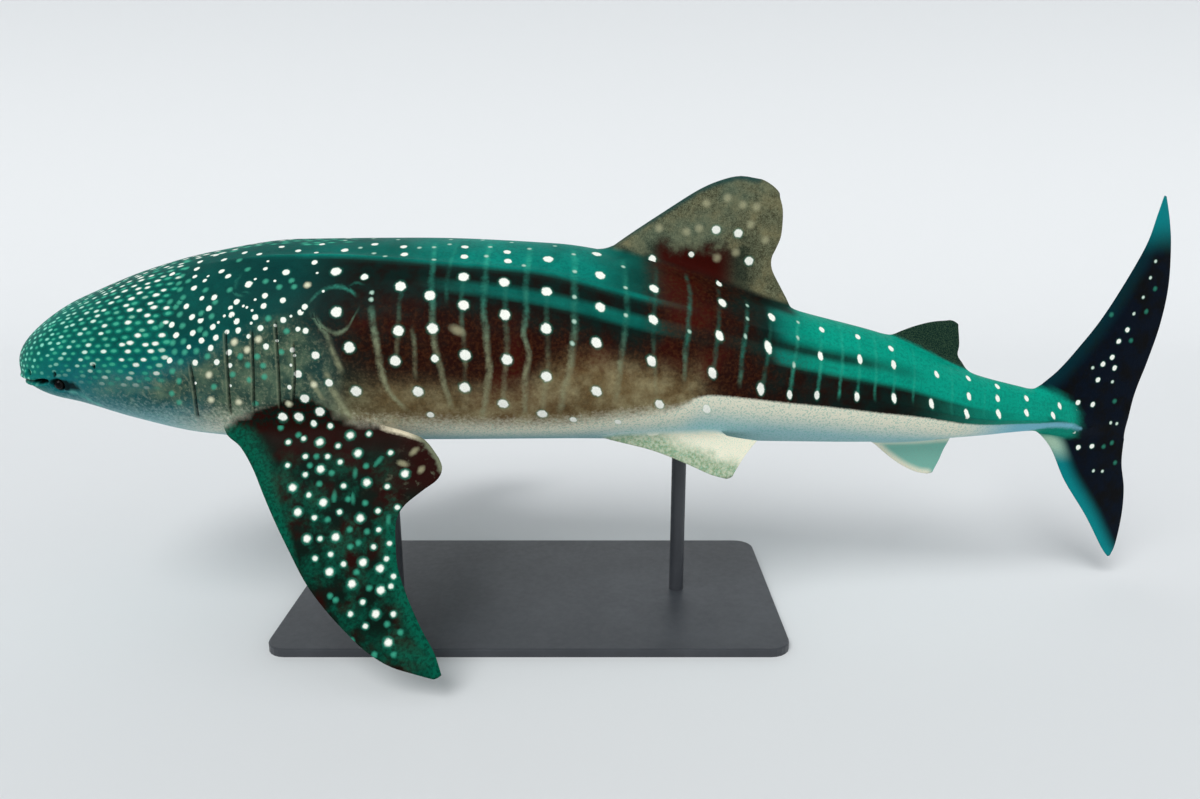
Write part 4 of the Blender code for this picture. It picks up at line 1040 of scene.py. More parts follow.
def paintMaps(mesh):
    points = pointsOf(mesh)
    station, side, height = fromFrame(points)
    inBody = np.clip(station, body["snoutStart"] + 0.001, 6.62)
    turn, outside = locate(inBody, side, height)
    arc = arcAt(inBody, turn)
    crestA, crestB = (arcAt(inBody, readCurve(path, inBody)) for path in ridges["paths"][:2])

    def tone(name):
        return readCurve(tones[name], station)

    # Fins: each takes the skin that stands well outside the body in its own place
    inDorsal, inSecond, inAnal, inTail, inPectoral, inPelvic = (
        finShare(name, station, side, height, outside) for name in finPlaces
    )
    inTail = np.maximum(inTail, smooth(6.40, 6.52, station))
    anyFin = np.maximum.reduce([inDorsal, inSecond, inAnal, inTail, inPectoral, inPelvic])
    # Spots, worked out corner by corner so that each triangle follows one spot
    corners = np.zeros(len(mesh.loops), np.int32)
    mesh.loops.foreach_get("vertex_index", corners)
    corners = corners.reshape(-1, 3)
    leftHere = side[corners].mean(axis=1) < 0.0
    spotMap = nearestSpot(station[corners], arc[corners], spots["flank"], 0.0, 1.0)
    mirrored = nearestSpot(station[corners], arc[corners], spots["flank"], spots["scatter"], 1.0)
    spotMap[~leftHere] = mirrored[~leftHere]
    form = pairedFins["pectoral"]
    droop = np.where(side < 0.0, form["droop"][0], form["droop"][1])
    reach = np.hypot(np.abs(side) - form["side"], height - form["height"])
    angle = np.radians(droop + 0.5 * form["curl"] * reach)
    out = (np.abs(side) - form["side"]) * np.cos(angle) - (height - form["height"]) * np.sin(angle)
    for inside, a, b, name in ((inDorsal, station, height, "dorsal"), (inTail, station, height, "tail"),
                               (inPectoral, station, out, "pectoral")):
        chosen = inside[corners].mean(axis=1) > (0.35 if name != "pectoral" else 0.05)
        spotMap[chosen] = nearestSpot(a[corners[chosen]], b[corners[chosen]], spots[name])
    plain = np.maximum(inSecond, np.maximum(inAnal, inPelvic))[corners].max(axis=1) > 0.2
    spotMap[plain, :, 2] = 0.0
    # Bars
    barMap = nearestBar(station[corners], arc[corners])
    barMap[..., 2] *= 1.0 - anyFin[corners]
    # Cells of the head
    rowsLow = tone("rowsLow")
    onFlank, onBack = cells["dark"]
    last = onFlank + (onBack - onFlank) * smooth(0.03, -0.03, arc - crestA)
    cellKeep = smooth(rowsLow + 0.10, rowsLow - 0.14, arc) * smooth(last + 0.25, last - 0.25, station)
    # Tones
    headTeal = tone("headTeal") * smooth(2.25, 1.7, station)
    # Painted light from above: the back over ridge A, the band over ridge B and the tail stock's top take the
    # skin's teal as lit from above
    aboveA = smooth(0.012, -0.02, arc - crestA)
    backTeal = tone("backTeal") * aboveA
    # Painted highlight: a pale teal line along ridge A's crest
    line = tone("ridgeHighlight") * bell(arc - crestA + 0.006, 0.020)
    inBand = smooth(-0.065, -0.025, arc - crestB) * smooth(0.045, 0.012, arc - crestB)
    rear = smooth(4.35, 4.5, station)
    rearFill = rear * smooth(0.07, 0.03, arc - crestB) * smooth(-0.10, -0.04, arc - crestB)
    band = tone("secondBand") * np.maximum(inBand, rearFill)
    tailAll = smooth(4.4, 4.55, station) * smooth(0.05, 0.0, arc - crestB)
    shadow = smooth(0.17, 0.08, arc) * smooth(4.30, 4.36, station) * smooth(4.64, 4.56, station)
    teal = np.maximum.reduce([headTeal, backTeal, line, band, tailAll * 0.95]) * (1.0 - 0.9 * shadow)
    # Painted shade under ridge A: the teal is taken out in a stripe between the ridges
    ridgeShade = tone("ridgeShade") * bell(arc - 0.5 * (crestA + crestB), 0.034)
    teal = teal * (1.0 - ridgeShade)
    tealLate = smooth(5.2, 6.1, station) * 0.85
    teal = np.maximum(teal, tealLate)
    belowB = smooth(0.02, 0.07, arc - crestB)
    darkBand = tone("tailBand") * belowB
    warmStart = 0.04 - 0.14 * smooth(3.6, 3.9, station)
    warm = tone("warm") * np.maximum(smooth(warmStart, warmStart + 0.22, arc - crestB), 0.75 * darkBand)
    warm = np.maximum(warm, tone("warmBack") * smooth(0.10, 0.0, arc - crestB))
    tan = tone("tan") * smooth(-0.12, 0.10, arc - tone("tanTop"))
    grey = tone("grey") * smooth(-0.09, 0.07, arc - tone("greyTop"))
    grey = grey * (1.0 - 0.75 * smooth(0.10, 0.26, arc - tone("greyTop")) * smooth(1.45, 1.1, station))
    disc = smooth(0.135, 0.075, np.hypot(station - 2.055, arc - 0.665))
    teal, warm = teal * (1.0 - 0.7 * disc), warm * (1.0 - 0.6 * disc)
    edge = tone("bellyEdge")
    soft = tone("bellySoft")
    nearBelly = smooth(0.30, 0.02, edge - arc) * smooth(4.1, 3.9, station)
    tan = np.maximum(tan, 0.75 * nearBelly * smooth(1.0, 1.6, station))
    bellySigned = np.clip((arc - edge) / soft, -4.0, 4.0)
    bandEnd = edge + tone("keelBand")
    bellySigned = np.where(station > 5.9, np.minimum(bellySigned, (bandEnd - arc) / 0.018), bellySigned)
    bellySigned = bellySigned - 8.0 * smooth(6.50, 6.56, station)
    # Painted light: blue water light on the lower side of the head
    cheekWaterLight = tone("cheekWaterLight") * smooth(-0.28, 0.10, arc - tone("cheekWaterLightTop"))
    # Painted shade in hollows: pit darkens skin sunk below the plain form on the head, slit darkens the gill
    # slits, and groove darkens the mouth's groove and the pore
    pit = smooth(0.004, 0.012, -outside) * smooth(1.15, 1.05, station)
    slit = 0.45 * smooth(0.003, 0.010, -outside) * smooth(1.15, 1.2, station) * smooth(2.1, 1.95, station)
    groove = 0.9 * bell(height - mouthLine(station), 0.0055) * smooth(0.43, 0.39, station)
    groove = np.maximum(groove, smooth(1.3, 0.8, ovalFar(station, height, pore)))
    # Painted shade of the eye socket and the mouth corner: a dark oval behind the eye
    lean = height - eye["shadeHeight"] + eye["shadeLean"] * (station - eye["shadeStation"])
    oval = np.hypot((station - eye["shadeStation"]) / eye["shadeLong"], lean / eye["shadeTall"])
    socketShade = smooth(1.12, 0.84, oval)
    pit = np.maximum.reduce([pit, slit, 0.95 * socketShade * (station < 1.0), groove * (station < 1.0)])
    lipPale = np.zeros_like(station)
    for place, middle, long, tall, fall in lipMarks:
        drop = height - middle + fall * (station - place)
        lipPale = np.maximum(lipPale, smooth(1.4, 0.6, np.hypot((station - place) / long, drop / tall)))
    # Painted highlight on each gill flap's rear edge, and painted shade in the slit behind it
    flapHighlight, slitShade = np.zeros_like(station), np.zeros_like(station)
    for slitForm in gills["slits"]:
        offset, ends = gillOffset(station, height, slitForm)
        flapHighlight = np.maximum(flapHighlight, ends * bell(offset + 0.008, 0.0045))
        slitShade = np.maximum(slitShade, ends * bell(offset - 0.002, 0.0034))
    bare = 1.0 - anyFin
    bodyOnly = bare * (height > -0.5)
    # Painted shade under the pectoral roots, measured on the left and plainer on the right
    rootShadeLeft = smooth(-0.012, 0.016, arc - tone("rootShadeTop")) * smooth(-0.60, -0.54, height) * (side < 0.0)
    rootShadeLeft *= smooth(1.38, 1.46, station) * smooth(2.27, 2.21, station)
    rootShadeRight = smooth(1.22, 1.27, arc) * (side >= 0.0)
    rootShadeRight *= smooth(1.42, 1.50, station) * smooth(2.30, 2.20, station)
    dorsalLow = smooth(4.46, 4.10, station) * (0.5 + 0.5 * smooth(3.72, 3.86, station))
    place = np.where(station < 3.0, smooth(2.40, 2.50, station), dorsalLow)
    # Painted shade with blue water light on the underside: low on the belly, and over the head's underside
    under = np.maximum(smooth(0.04, 0.24, arc - edge), smooth(1.5, 0.95, station))
    cap = cells["cap"]
    capKeep = smooth(cap["end"] + 0.004, cap["end"] - 0.004, station)
    leadFar, trailFar = finEdges(
        station, height, out, inPectoral, inDorsal, inTail, inSecond, inAnal, inPelvic
    )
    innerFar = edgeFar(station, np.where(np.abs(side) > 0.3, out, 9.0), pairedFins["pectoral"]["inner"])
    reachIn = 0.036 - 0.008 * smooth(2.40, 2.50, station)
    cream = smooth(reachIn, 0.55 * reachIn, innerFar) * smooth(2.24, 2.33, station)
    layers = {
        "cellMap": (gapsBehindSnout(station), shareAround(inBody, turn), cellKeep * bare),
        "capMap": (side / cap["across"], height / cap["tall"], capKeep),
        "toneMap": (teal, warm * bare, tan * bare),
        "bellyMap": (bellySigned, under, cheekWaterLight),
        "lipMap": (lipPale, flapHighlight * bodyOnly, slitShade * bodyOnly),
        "moreMap": (smooth(4.35, 4.75, station), np.maximum(rootShadeLeft, rootShadeRight), place),
        "finMap": (inPectoral, inDorsal, inTail),
        "finMore": (np.maximum(inAnal, inPelvic), inSecond, pit),
        "finEdge": (leadFar, trailFar, np.where(inPectoral > 0.3, out, height)),
    }
    for name, parts in layers.items():
        writeLayer(mesh, name, np.stack(parts, axis=1))
    # The keel layer: where the underside's painted blue water light grows towards the tail
    for name, values in (("grey", grey * bare), ("keel", smooth(5.55, 6.05, station)), ("cream", cream)):
        writeLayer(mesh, name, values)
    for name, values in (("spotMap", spotMap), ("barMap", barMap)):
        writeLayer(mesh, name, values.reshape(-1, 3), "CORNER")


def edgeFar(a, b, edge):
    # Distance from a fin's edge, in its own plane
    line = edgePoints(edge, np.linspace(0.0, 1.0, 90))
    far = np.full(len(a), 9.0)
    for start in range(0, len(a), chunk):
        part = slice(start, start + chunk)
        far[part] = np.hypot(a[part, None] - line[None, :, 0], b[part, None] - line[None, :, 1]).min(axis=1)
    return far


def finEdges(station, height, out, inPectoral, inDorsal, inTail, inSecond, inAnal, inPelvic):
    leadFar, trailFar = np.full(len(station), 1.0), np.full(len(station), 1.0)
    pelvic = pairedFins["pelvic"]
    wholes = (
        (inPectoral, pairedFins["pectoral"], out), (inDorsal, upperFins["dorsalFirst"], height),
        (inSecond, upperFins["dorsalSecond"], height), (inAnal, lowerFins["anal"], height),
        (inTail * (height > -0.60), upperFins["tailUpper"], height),
        (inTail * (height <= -0.60), lowerFins["tailLower"], height),
        (inPelvic, pelvic, (pelvic["height"] - height) / math.sin(math.radians(pelvic["droop"][0]))),
    )
    for inside, form, across in wholes:
        chosen = inside > 0.02
        leadFar[chosen] = edgeFar(station[chosen], across[chosen], form["lead"])
        trailFar[chosen] = edgeFar(station[chosen], across[chosen], form["trail"])
    return leadFar, trailFar


paintMaps(skinMesh)
print("markings placed")


# Materials

def tint(red, green, blue):
    # A colour from its 0-255 values as they look on a screen
    def straight(value):
        value /= 255.0
        return value / 12.92 if value <= 0.04045 else ((value + 0.055) / 1.055) ** 2.4
    return (straight(red), straight(green), straight(blue), 1.0)


class Value:
    # A number that nodes work out, so that plain arithmetic on it adds the nodes
    def __init__(self, painter, socket):
        self.painter, self.socket = painter, socket

    def held(self):
        # Kept between 0 and 1
        self.socket.node.use_clamp = True
        return self


for sign, kind in (("add", "ADD"), ("sub", "SUBTRACT"), ("mul", "MULTIPLY"), ("truediv", "DIVIDE")):
    setattr(Value, "__%s__" % sign, lambda self, other, kind=kind: self.painter.math(kind, self, other))
    setattr(Value, "__r%s__" % sign, lambda self, other, kind=kind: self.painter.math(kind, other, self))


class Painter:
    # A short way to write a material's nodes, in which a colour may be a name from the material's look
    def __init__(self, name, look):
        self.look = look
        self.material = bpy.data.materials.new(name)
        self.material.use_nodes = True
        self.tree = self.material.node_tree
        self.coords = self.node("TexCoord", {}, "Object")

    def put(self, socket, value):
        if isinstance(value, Value):
            self.tree.links.new(value.socket, socket)
        else:
            socket.default_value = tint(*self.look[value]) if isinstance(value, str) else value

    def node(self, kind, inputs, output=0, **settings):
        node = self.tree.nodes.new("ShaderNode" + kind)
        for name, value in settings.items():
            setattr(node, name, value)
        for key, value in inputs.items():
            self.put(node.inputs[key], value)
        return Value(self, node.outputs[output])

    def math(self, kind, *values):
        return self.node("Math", dict(enumerate(values)), operation=kind)

    def most(self, first, *others):
        for other in others:
            first = self.math("MAXIMUM", first, other)
        return first

    def length(self, a, b):
        return self.math("SQRT", a * a + b * b)

    def step(self, low, high, value):
        # A soft step from 0 at low to 1 at high
        return self.node("MapRange", {"Value": value, "From Min": low, "From Max": high},
                         interpolation_type="SMOOTHSTEP")

    def ramp(self, low, high, bottom, top, value):
        return self.node("MapRange", {"Value": value, "From Min": low, "From Max": high,
                                      "To Min": bottom, "To Max": top})

    def slide(self, bottom, top, share):
        return self.ramp(0.0, 1.0, bottom, top, share)

    def mix(self, amount, first, second, kind="MIX"):
        return self.node("Mix", {0: amount, 6: first, 7: second}, 2, data_type="RGBA", blend_type=kind)

    def lay(self, base, *coats):
        # Tones laid one over another, each after how far it covers
        for amount, tone in coats:
            base = self.mix(amount, base, tone)
        return base

    def noise(self, scale, detail=3.0, rough=0.55, vector=None):
        return self.node("TexNoise", {"Vector": vector or self.coords, "Scale": scale, "Detail": detail,
                                      "Roughness": rough}, "Fac")

    def stored(self, name, output="Fac"):
        return self.node("Attribute", {}, output, attribute_name=name)

    def parts(self, kind, value):
        node = self.node("Separate" + kind, {0: value}).socket.node
        return [Value(self, part) for part in node.outputs]

    def layer(self, name):
        return self.parts("XYZ", self.stored(name, "Vector"))

    def bump(self, height, distance, strength, under=None):
        inputs = {"Height": height, "Distance": distance, "Strength": strength}
        return self.node("Bump", {**inputs, "Normal": under} if under else inputs)

    def finish(self, inputs):
        shader = self.tree.nodes["Principled BSDF"]
        for name, value in inputs.items():
            self.put(shader.inputs[name], value)
        return self.material


skinLook = {
    "charcoal": (8, 30, 26), "charcoalWarm": (20, 14, 10), "headDark": (1, 50, 50),
    # teal, tealBright, tealRear: the skin's teal tones, which on the back and over the ridges also stand for
    # painted light from above
    "teal": (2, 108, 96), "tealBright": (6, 144, 128), "tealDeep": (0, 62, 62), "tealRear": (2, 164, 136),
    "maroon": (38, 7, 3), "redMaroon": (66, 10, 4), "brown": (66, 34, 16),
    "tan": (122, 102, 66), "sand": (160, 150, 112), "sandPale": (190, 188, 150),
    "gillDark": (40, 62, 52), "gillPale": (92, 112, 88), "greyPale": (130, 138, 112),
    "belly": (234, 232, 210), "bellyShadeBlue": (98, 180, 198), "keelShadeBlue": (120, 186, 204),
    "cheekWaterLight": (22, 122, 134), "cellGlow": (8, 126, 106),
    "white": (250, 252, 242), "tealSpot": (44, 156, 128), "tealGlow": (70, 178, 146),
    "aquaSpot": (130, 218, 194),
    "barPale": (144, 148, 116), "barTeal": (44, 124, 106), "barRear": (60, 190, 160),
    "finDark": (5, 24, 17), "finTeal": (0, 92, 70), "finTealDeep": (0, 62, 48), "finMaroon": (36, 6, 3),
    "cream": (236, 226, 196), "creamSpot": (222, 222, 190), "lipPale": (104, 186, 172),
    "olive": (122, 126, 98), "oliveDark": (56, 56, 40), "oliveSand": (140, 132, 96),
    "oliveTeal": (84, 110, 94),
    "dorsalMaroon": (54, 8, 3), "secondDark": (14, 42, 36), "secondPale": (50, 72, 54),
    "tailBlue": (2, 12, 26), "tailDark": (8, 10, 12), "tailTeal": (2, 62, 70), "tailBright": (6, 132, 136),
    "tailCream": (176, 206, 180), "paleFin": (244, 238, 214), "paleFinTeal": (92, 176, 162),
    # pit: the colour of painted shade in hollows, slits and the eye socket
    "paleFinGreen": (116, 148, 108), "pit": (7, 3, 3),
}


def makeSkinPaint():
    p = Painter("skinPaint", skinLook)
    step, ramp, slide, mix, lay = p.step, p.ramp, p.slide, p.mix, p.lay
    spotX, spotY, spotTone = p.layer("spotMap")
    barX, barArc, barStrength = p.layer("barMap")
    cellA, cellB, cellKeep = p.layer("cellMap")
    capAcross, capTall, capKeep = p.layer("capMap")
    teal, warm, tan = p.layer("toneMap")
    bellySigned, under, cheekWaterLight = p.layer("bellyMap")
    pectoral, dorsal, tail = p.layer("finMap")
    paleFin, second, pit = p.layer("finMore")
    rear, rootShade, place = p.layer("moreMap")
    lipPale, flapHighlight, slitShade = p.layer("lipMap")
    leadFar, trailFar, across = p.layer("finEdge")
    grey, cream, keel = p.stored("grey"), p.stored("cream"), p.stored("keel")
    # Breakup at several sizes, and two of them either side of nought
    broad = p.noise(2.6)
    cloud = p.noise(9.0, 4.0, 0.6)
    grain = p.noise(55.0, 3.0, 0.6)
    fine = p.noise(160.0, 2.0, 0.6)
    speck = p.noise(90.0, 1.0, 0.5)
    cloudy, grainy = cloud - 0.5, grain - 0.5

    def broken(amount, give):
        # A tone's edge, frayed by the noise where the tone is neither whole nor absent
        return (amount + (cloud + grain - 1.0) * (6.0 * give) * (amount * (1.0 - amount))).held()

    # Ground of the body, from the back down
    ground = lay("charcoal", (step(0.35, 0.65, cloud), "charcoalWarm"), (cellKeep * 0.85, "headDark"))
    # tealTone: the skin's teal, which on the back and over the ridges stands for painted light from above
    tealTone = lay("teal", (step(0.30, 0.72, broad), "tealBright"), (rear * 0.75, "tealRear"),
                   (step(0.45, 0.62, grain) * 0.25, "tealDeep"))
    warmTone = lay("maroon", (step(0.48, 0.66, broad), "redMaroon"), (step(0.38, 0.74, grain), "brown"))
    tanTone = mix(step(0.30, 0.75, cloud), "tan", "sand")
    greyTone = lay("gillDark", (step(0.35, 0.70, cloud), "gillPale"),
                   (step(0.50, 0.66, grain) * 0.45, "greyPale"))
    # Bars: dotted above, solid and paler below
    barEdge = p.math("ABSOLUTE", barX + (cloudy * 1.8 + grainy * 1.4))
    bar = step(1.75, 0.0, barEdge) * (barStrength * ramp(0.25, 0.50, 0.50, 1.0, barArc)).held()
    bar = (bar * ramp(0.36, 0.62, 0.30, 1.12, p.noise(13.0, 3.0, 0.7))).held()
    barTone = lay("barTeal", (step(0.55, 0.95, barArc), "barPale"),
                  (p.most(rear * 0.8, step(0.50, 0.34, barArc) * teal), "barRear"))
    bellyAmount = step(-1.0, 1.0, bellySigned + grainy * 1.6)
    # The belly's pale tone, with painted blue water light on the shaded underside and towards the keel
    bellyTone = lay("belly", (under * 0.70, "bellyShadeBlue"), (step(0.50, 0.64, speck) * 0.42, "paleFinTeal"),
                    (step(0.56, 0.70, fine) * 0.30, "greyPale"), (keel, "keelShadeBlue"))
    # The tone under the pectoral roots: the fin's dark and maroon, laid on the body as painted shade
    rootShadeTone = mix(step(0.40, 0.62, grain), "finDark", "finMaroon")
    colour = lay(ground, (broken(teal, 0.35), tealTone), (broken(warm, 0.5) * 0.90, warmTone),
                 (broken(tan, 0.4), tanTone), (broken(cheekWaterLight, 0.25), "cheekWaterLight"), (broken(grey, 0.4), greyTone),
                 (bar, barTone), (bellyAmount, bellyTone), (broken(rootShade, 0.5), rootShadeTone))

    # Spots of the head, set in staggered rows: white ones among dimmer teal ones
    def spotRows(colour, along, around, lean, bright, keepAt):
        point = p.node("CombineXYZ", {0: along + around * lean, 1: around})
        cell = p.node("TexVoronoi", {"Vector": point, "Scale": 1.0, "Randomness": cells["loose"]}, "Position",
                      voronoi_dimensions="2D")
        centreX, centreY, unused = p.parts("XYZ", cell)
        chance, otherChance, unused = p.parts("Color", Value(p, cell.socket.node.outputs["Color"]))
        centreAlong = centreX - centreY * lean
        everyOther = p.math("PINGPONG", p.math("FLOOR", centreX) + p.math("FLOOR", centreY), 1.0)
        thin = ramp(*(gapsBehindSnout(end) for end in cells["thinning"]), 0.0, 0.40, centreAlong)
        isWhite = step(0.50, 0.60, everyOther * 0.45 + chance * 0.70 - thin)
        size = otherChance * 0.07 + slide(0.22, 0.25, isWhite)
        far = p.length(along - centreAlong, around - centreY) / size + grainy * 0.5
        here = keepAt(centreAlong, centreY)
        core = step(1.20, 0.50, far) * here * slide(0.85, 1.0, isWhite)
        palest = mix(step(0.0, 1.0, bright(centreAlong)), "aquaSpot", "white")
        return lay(colour, (step(2.25, 0.75, far) * here * 0.85, "cellGlow"),
                   (core, mix(isWhite, "tealGlow", palest)))

    colour = spotRows(colour, capAcross, capTall, 0.5, lambda along: 0.0, lambda along, around: capKeep)
    brightFrom, brightAt = (gapsBehindSnout(place) for place in cells["bright"])
    flankEnd, backEnd = gapsBehindSnout(cells["flankEnd"]), gapsBehindSnout(cells["backEnd"])
    for rows, first, last in cells["zones"]:
        first, last = gapsBehindSnout(first), gapsBehindSnout(last)

        def keepAt(along, around):
            # Whole spots only: to the shoulder on the flank, and further along the back
            share = p.math("ABSOLUTE", around / rows)
            onBack = step(cells["backShare"] + 0.004, cells["backShare"] - 0.004, share)
            kept = p.math("LESS_THAN", along, slide(flankEnd, backEnd, onBack)) * cellKeep
            return kept * (step(first - 0.01, first + 0.01, along) * step(last + 0.01, last - 0.01, along))
        colour = spotRows(colour, cellA, cellB * rows, cells["lean"],
                          lambda along: ramp(brightFrom, brightAt, 0.0, 1.0, along), keepAt)
    # Pectoral fins: dark and maroon, teal along the edges, with a cream margin behind, and maroon painted
    # shade near the root
    leadTeal = step(1.0, 0.35, leadFar / ramp(0.30, 0.80, 0.150, 0.030, across)) * step(0.95, 0.62, across)
    trailTeal = step(0.110, 0.030, trailFar) * step(0.44, 0.62, across)
    tipTeal = step(1.10, 1.30, across) * step(0.015, 0.080, leadFar)
    cloudTeal = step(0.44, 0.62, p.noise(7.0, 4.0, 0.6)) * step(0.12, 0.40, across) * 0.62
    rearCorner = step(0.27, 0.10, trailFar) * step(0.48, 0.34, across)
    lobeCloud = step(0.56, 0.74, p.noise(22.0, 3.0, 0.6)) * rearCorner
    pectoralTone = lay("finDark", (step(0.42, 0.66, p.noise(6.0)), "finMaroon"),
                       (p.most(leadTeal, trailTeal, tipTeal, cloudTeal) * 0.92,
                        mix(step(0.40, 0.66, grain), "finTeal", "finTealDeep")),
                       (rearCorner, "finMaroon"), (lobeCloud * 0.35, "greyPale"),
                       (step(0.30, 0.05, across) * step(0.08, 0.20, leadFar) * 0.85, "finMaroon"))
    creamAmount = broken(cream, 0.8) * slide(0.92, 0.75, place)
    # Dorsal fins: mottled olive, maroon at the root of the first
    lowDorsal = step(0.60, 0.46, across + cloudy * 0.30)
    mottle = lay("oliveDark", (step(0.30, 0.72, (grain + fine) * 0.5), "olive"),
                 (step(0.42, 0.70, cloud) * 0.50, "oliveSand"), (step(0.46, 0.62, broad) * 0.35, "oliveTeal"),
                 (lowDorsal * (step(0.0, 0.5, place) * 0.75), "charcoal"),
                 (lowDorsal * step(0.5, 1.0, place), "dorsalMaroon"),
                 (step(0.040, 0.006, leadFar) * 0.8, "tealDeep"))
    secondTone = mix(step(0.40, 0.64, fine), "secondDark", "secondPale")
    # Tail fin: dark, with teal edges and tip and a pale front to the lower lobe
    onLower = step(-0.56, -0.66, across)
    edgeTeal = step(0.12, 0.010, leadFar) * slide(0.40, 0.95, onLower)
    creamFront = step(0.115, 0.030, leadFar) * (onLower * step(-0.86, -0.70, across))
    tailTone = lay("tailBlue", (step(0.42, 0.66, cloud), "tailDark"),
                   (edgeTeal, mix(onLower, "tailTeal", "tailBright")),
                   (step(0.44, 0.70, across) * 0.92, "tailBright"), (creamFront * 0.90, "tailCream"))
    # Pelvic fins: olive along the front; anal fin: teal inside a pale rim
    front = step(0.17, 0.05, leadFar + cloudy * 0.16) * (1.0 - rear)
    front = (front * ramp(0.40, 0.62, 1.0, 0.55, grain)).held()
    analInner = rear * (step(0.008, 0.05, leadFar) * step(-0.64, -0.69, across))
    paleTone = lay("paleFin", (front * 0.9, "paleFinGreen"), (analInner * 0.85, "paleFinTeal"),
                   (step(0.45, 0.66, fine) * 0.40, "paleFinTeal"))
    # Spots of the flank and fins: teal, white, then soft cream and faint sandy ones by their tone
    softly, faint = step(1.05, 1.15, spotTone), step(1.35, 1.45, spotTone)
    ragged = p.length(spotX, spotY) + grainy * 0.60
    spotLevel = ramp(0.0, 0.9, 0.0, 1.0, spotTone) * slide(1.0, 0.50, faint)
    halo = step(0.0, 1.0, (slide(1.55, 1.72, pectoral) - ragged) / 0.9) * slide(0.40, 0.52, pectoral)
    halo = (halo * spotLevel).held() * (1.0 - faint)
    glowing = p.most(softly, step(0.86, 0.70, spotTone))
    outer, inner = slide(1.10, 1.40, glowing), slide(slide(0.78, 0.50, pectoral), 0.20, glowing)
    core = step(0.0, 1.0, (outer - ragged) / (outer - inner))
    spotTint = lay("tealGlow", (step(0.58, 0.90, spotTone), "white"), (softly, "creamSpot"),
                   (faint, "sandPale"))
    # Among the last coats, the gill flaps' edges take a painted highlight, and the slits, hollows and eye
    # socket take painted shade
    colour = lay(colour, (pectoral, pectoralTone), (creamAmount, mix(place, "cream", "greyPale")),
                 (dorsal, mottle), (second, secondTone), (tail, tailTone),
                 (bellyAmount * (keel * tail), "keelShadeBlue"), (paleFin, paleTone),
                 (halo, mix(softly, "tealSpot", "greyPale")), ((core * spotLevel).held(), spotTint),
                 (lipPale * 0.8, "lipPale"), (flapHighlight * 0.45, "greyPale"), (slitShade * 0.78, "pit"),
                 (pit * 0.94, "pit"))
    # Fine light and dark grain over everything
    shade = ramp(0.25, 0.75, 0.86, 1.12, fine)
    colour = mix(1.0, colour, p.node("CombineColor", {0: shade, 1: shade, 2: shade}), "MULTIPLY")
    skinGrain = p.bump(fine + grain * 0.8, 0.0022, 0.35)
    return p.finish({"Base Color": colour, "Roughness": ramp(0.3, 0.7, 0.40, 0.56, cloud),
                     "Specular IOR Level": 0.035, "Normal": p.bump(cloud, 0.008, 0.22, skinGrain)})


eyeLook = {"pupil": (3, 3, 4), "iris": (8, 9, 8), "ring": (22, 25, 21), "rim": (5, 5, 5),
           "pupilSize": 0.42, "irisSize": 0.66}


def makeEyePaint():
    p = Painter("eyePaint", eyeLook)
    gaze, pupil, iris = p.layer("gaze")[0], eyeLook["pupilSize"], eyeLook["irisSize"]
    streaks = p.noise(16.0, 3.0, 0.6, p.stored("gaze", "Vector"))
    colour = p.mix(p.step(0.35, 0.7, streaks), "iris", "ring")
    colour = p.mix(p.step(pupil - 0.02, pupil + 0.02, gaze), "pupil", colour)
    colour = p.mix(p.step(iris, iris + 0.10, gaze), colour, "rim")
    return p.finish({"Base Color": colour, "Roughness": p.ramp(0.3, 0.7, 0.06, 0.12, streaks),
                     "Specular IOR Level": 0.06, "Coat Weight": 0.05, "Coat Roughness": 0.03})


standLook = {"paint": (52, 55, 60), "worn": (74, 77, 82), "grain": 240.0}


def makeStandPaint():
    p = Painter("standPaint", standLook)
    scuff = p.noise(26.0, 5.0, 0.7)
    colour = p.lay("paint", (p.step(0.40, 0.70, p.noise(3.0, 4.0, 0.6)) * 0.35, "worn"),
                   (p.step(0.62, 0.74, scuff) * 0.25, "worn"))
    return p.finish({"Base Color": colour, "Roughness": p.ramp(0.3, 0.7, 0.36, 0.50, scuff),
                     "Normal": p.bump(p.noise(standLook["grain"], 2.0, 0.5), 0.0006, 0.35)})


# Skin piece

skin = makeObject("skin", skinMesh)
skinMesh.materials.clear()
skinMesh.materials.append(makeSkinPaint())
skinMesh.shade_smooth()
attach(skin, "root")
fleshNodes = [name for name in frame["nodes"] if not name.startswith(("eye_", "stand_"))]
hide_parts(*fleshNodes)
print("skin painted")


# Eyes

def makeEye(node, which):
    low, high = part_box(node)
    middle, radius = 0.5 * (low + high), 0.5 * (high.x - low.x)
    outward = Vector((-0.18, -1.0 if which == "Left" else 1.0, 0.10)).normalized()
    shape = bmesh.new()
    bmesh.ops.create_uvsphere(shape, u_segments=48, v_segments=32, radius=1.0)
    turn = Vector((0.0, 0.0, 1.0)).rotation_difference(outward)
    gazeRows = []
    for vertex in shape.verts:
        polar = math.acos(max(-1.0, min(1.0, vertex.co.z))) / (0.5 * math.pi)
        spin = math.atan2(vertex.co.y, vertex.co.x)
        bulge = 1.0 + 0.035 * math.exp(-(polar / 0.5) ** 2)
        gazeRows.append((polar, 0.5 + 0.5 * math.cos(3.0 * spin), 0.0))
        vertex.co = middle + (turn @ vertex.co) * radius * bulge * 0.985
    mesh = bpy.data.meshes.new("eye" + which)
    closed(shape, mesh)
    writeLayer(mesh, "gaze", np.array(gazeRows))
    mesh.shade_smooth()
    return makeObject("eye" + which, mesh)


eyePaint = makeEyePaint()
for node, which in (("eye_left", "Left"), ("eye_right", "Right")):
    ball = makeEye(node, which)
    ball.data.materials.append(eyePaint)
    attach(ball, "root")
    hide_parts(node)
print("eyes made")


# Stand: the solids stay, with a painted finish

standPaint = makeStandPaint()
for name in ("stand_base", "stand_rod_front", "stand_rod_rear"):
    for slot in frame["nodes"][name].material_slots:
        slot.material = standPaint


# Studio

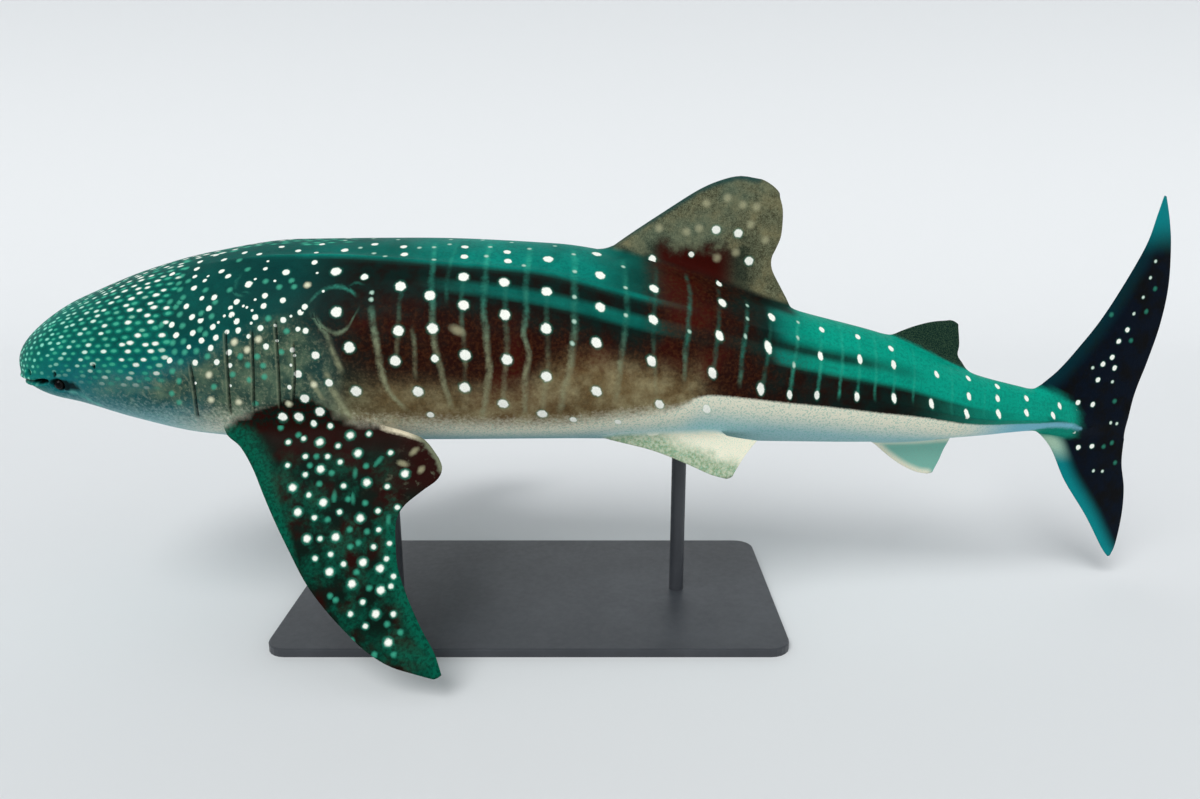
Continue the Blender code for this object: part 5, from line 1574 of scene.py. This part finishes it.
studio = {
    "floor": (228, 230, 231), "sky": (232, 236, 240), "skyStrength": 0.56,
    # Backdrop: its start behind the stand, sweep radius, height, front edge and half width
    "behind": 7.0, "sweep": 7.0, "height": 22.0, "front": -14.0, "half": 45.0,
    # Name, turn round from the camera to the left, height angle, softness in degrees, strength
    "suns": (("key", 28.0, 52.0, 34.0, 1.60), ("fill", -50.0, 24.0, 60.0, 0.35)),
}


def makeFloor():
    p = Painter("floorPaint", studio)
    paint = p.finish({"Base Color": "floor", "Roughness": p.ramp(0.3, 0.7, 0.70, 0.80, p.noise(4.0)),
                      "Specular IOR Level": 0.2})
    bend = [math.radians(3.0 * k) for k in range(31)]
    behind, sweep = studio["behind"], studio["sweep"]
    profile = [(studio["front"], 0.0)]
    profile += [(behind + sweep * math.sin(a), sweep * (1.0 - math.cos(a))) for a in bend]
    profile.append((behind + sweep, studio["height"]))
    shape = bmesh.new()
    rows = [[shape.verts.new((x, y, z)) for y, z in profile] for x in (-studio["half"], studio["half"])]
    for k in range(len(profile) - 1):
        shape.faces.new((rows[0][k], rows[1][k], rows[1][k + 1], rows[0][k + 1]))
    mesh = bpy.data.meshes.new("floor")
    closed(shape, mesh)
    mesh.materials.append(paint)
    mesh.shade_smooth()
    return makeObject("floor", mesh)


def makeLights():
    for name, turn, rise, softness, strength in studio["suns"]:
        data = bpy.data.lights.new(name, "SUN")
        data.angle, data.energy = math.radians(softness), strength
        turn, rise = math.radians(turn), math.radians(rise)
        source = Vector((-math.sin(turn) * math.cos(rise), -math.cos(turn) * math.cos(rise), math.sin(rise)))
        lamp = bpy.data.objects.new(name, data)
        lamp.rotation_euler = source.to_track_quat("Z", "Y").to_euler()
        bpy.context.scene.collection.objects.link(lamp)
    world = bpy.data.worlds.new("sky")
    world.use_nodes = True
    ground = world.node_tree.nodes["Background"]
    ground.inputs["Color"].default_value = tint(*studio["sky"])
    ground.inputs["Strength"].default_value = studio["skyStrength"]
    bpy.context.scene.world = world
    bpy.context.scene.view_settings.view_transform = "Standard"


makeFloor()
makeLights()
print("studio lit")
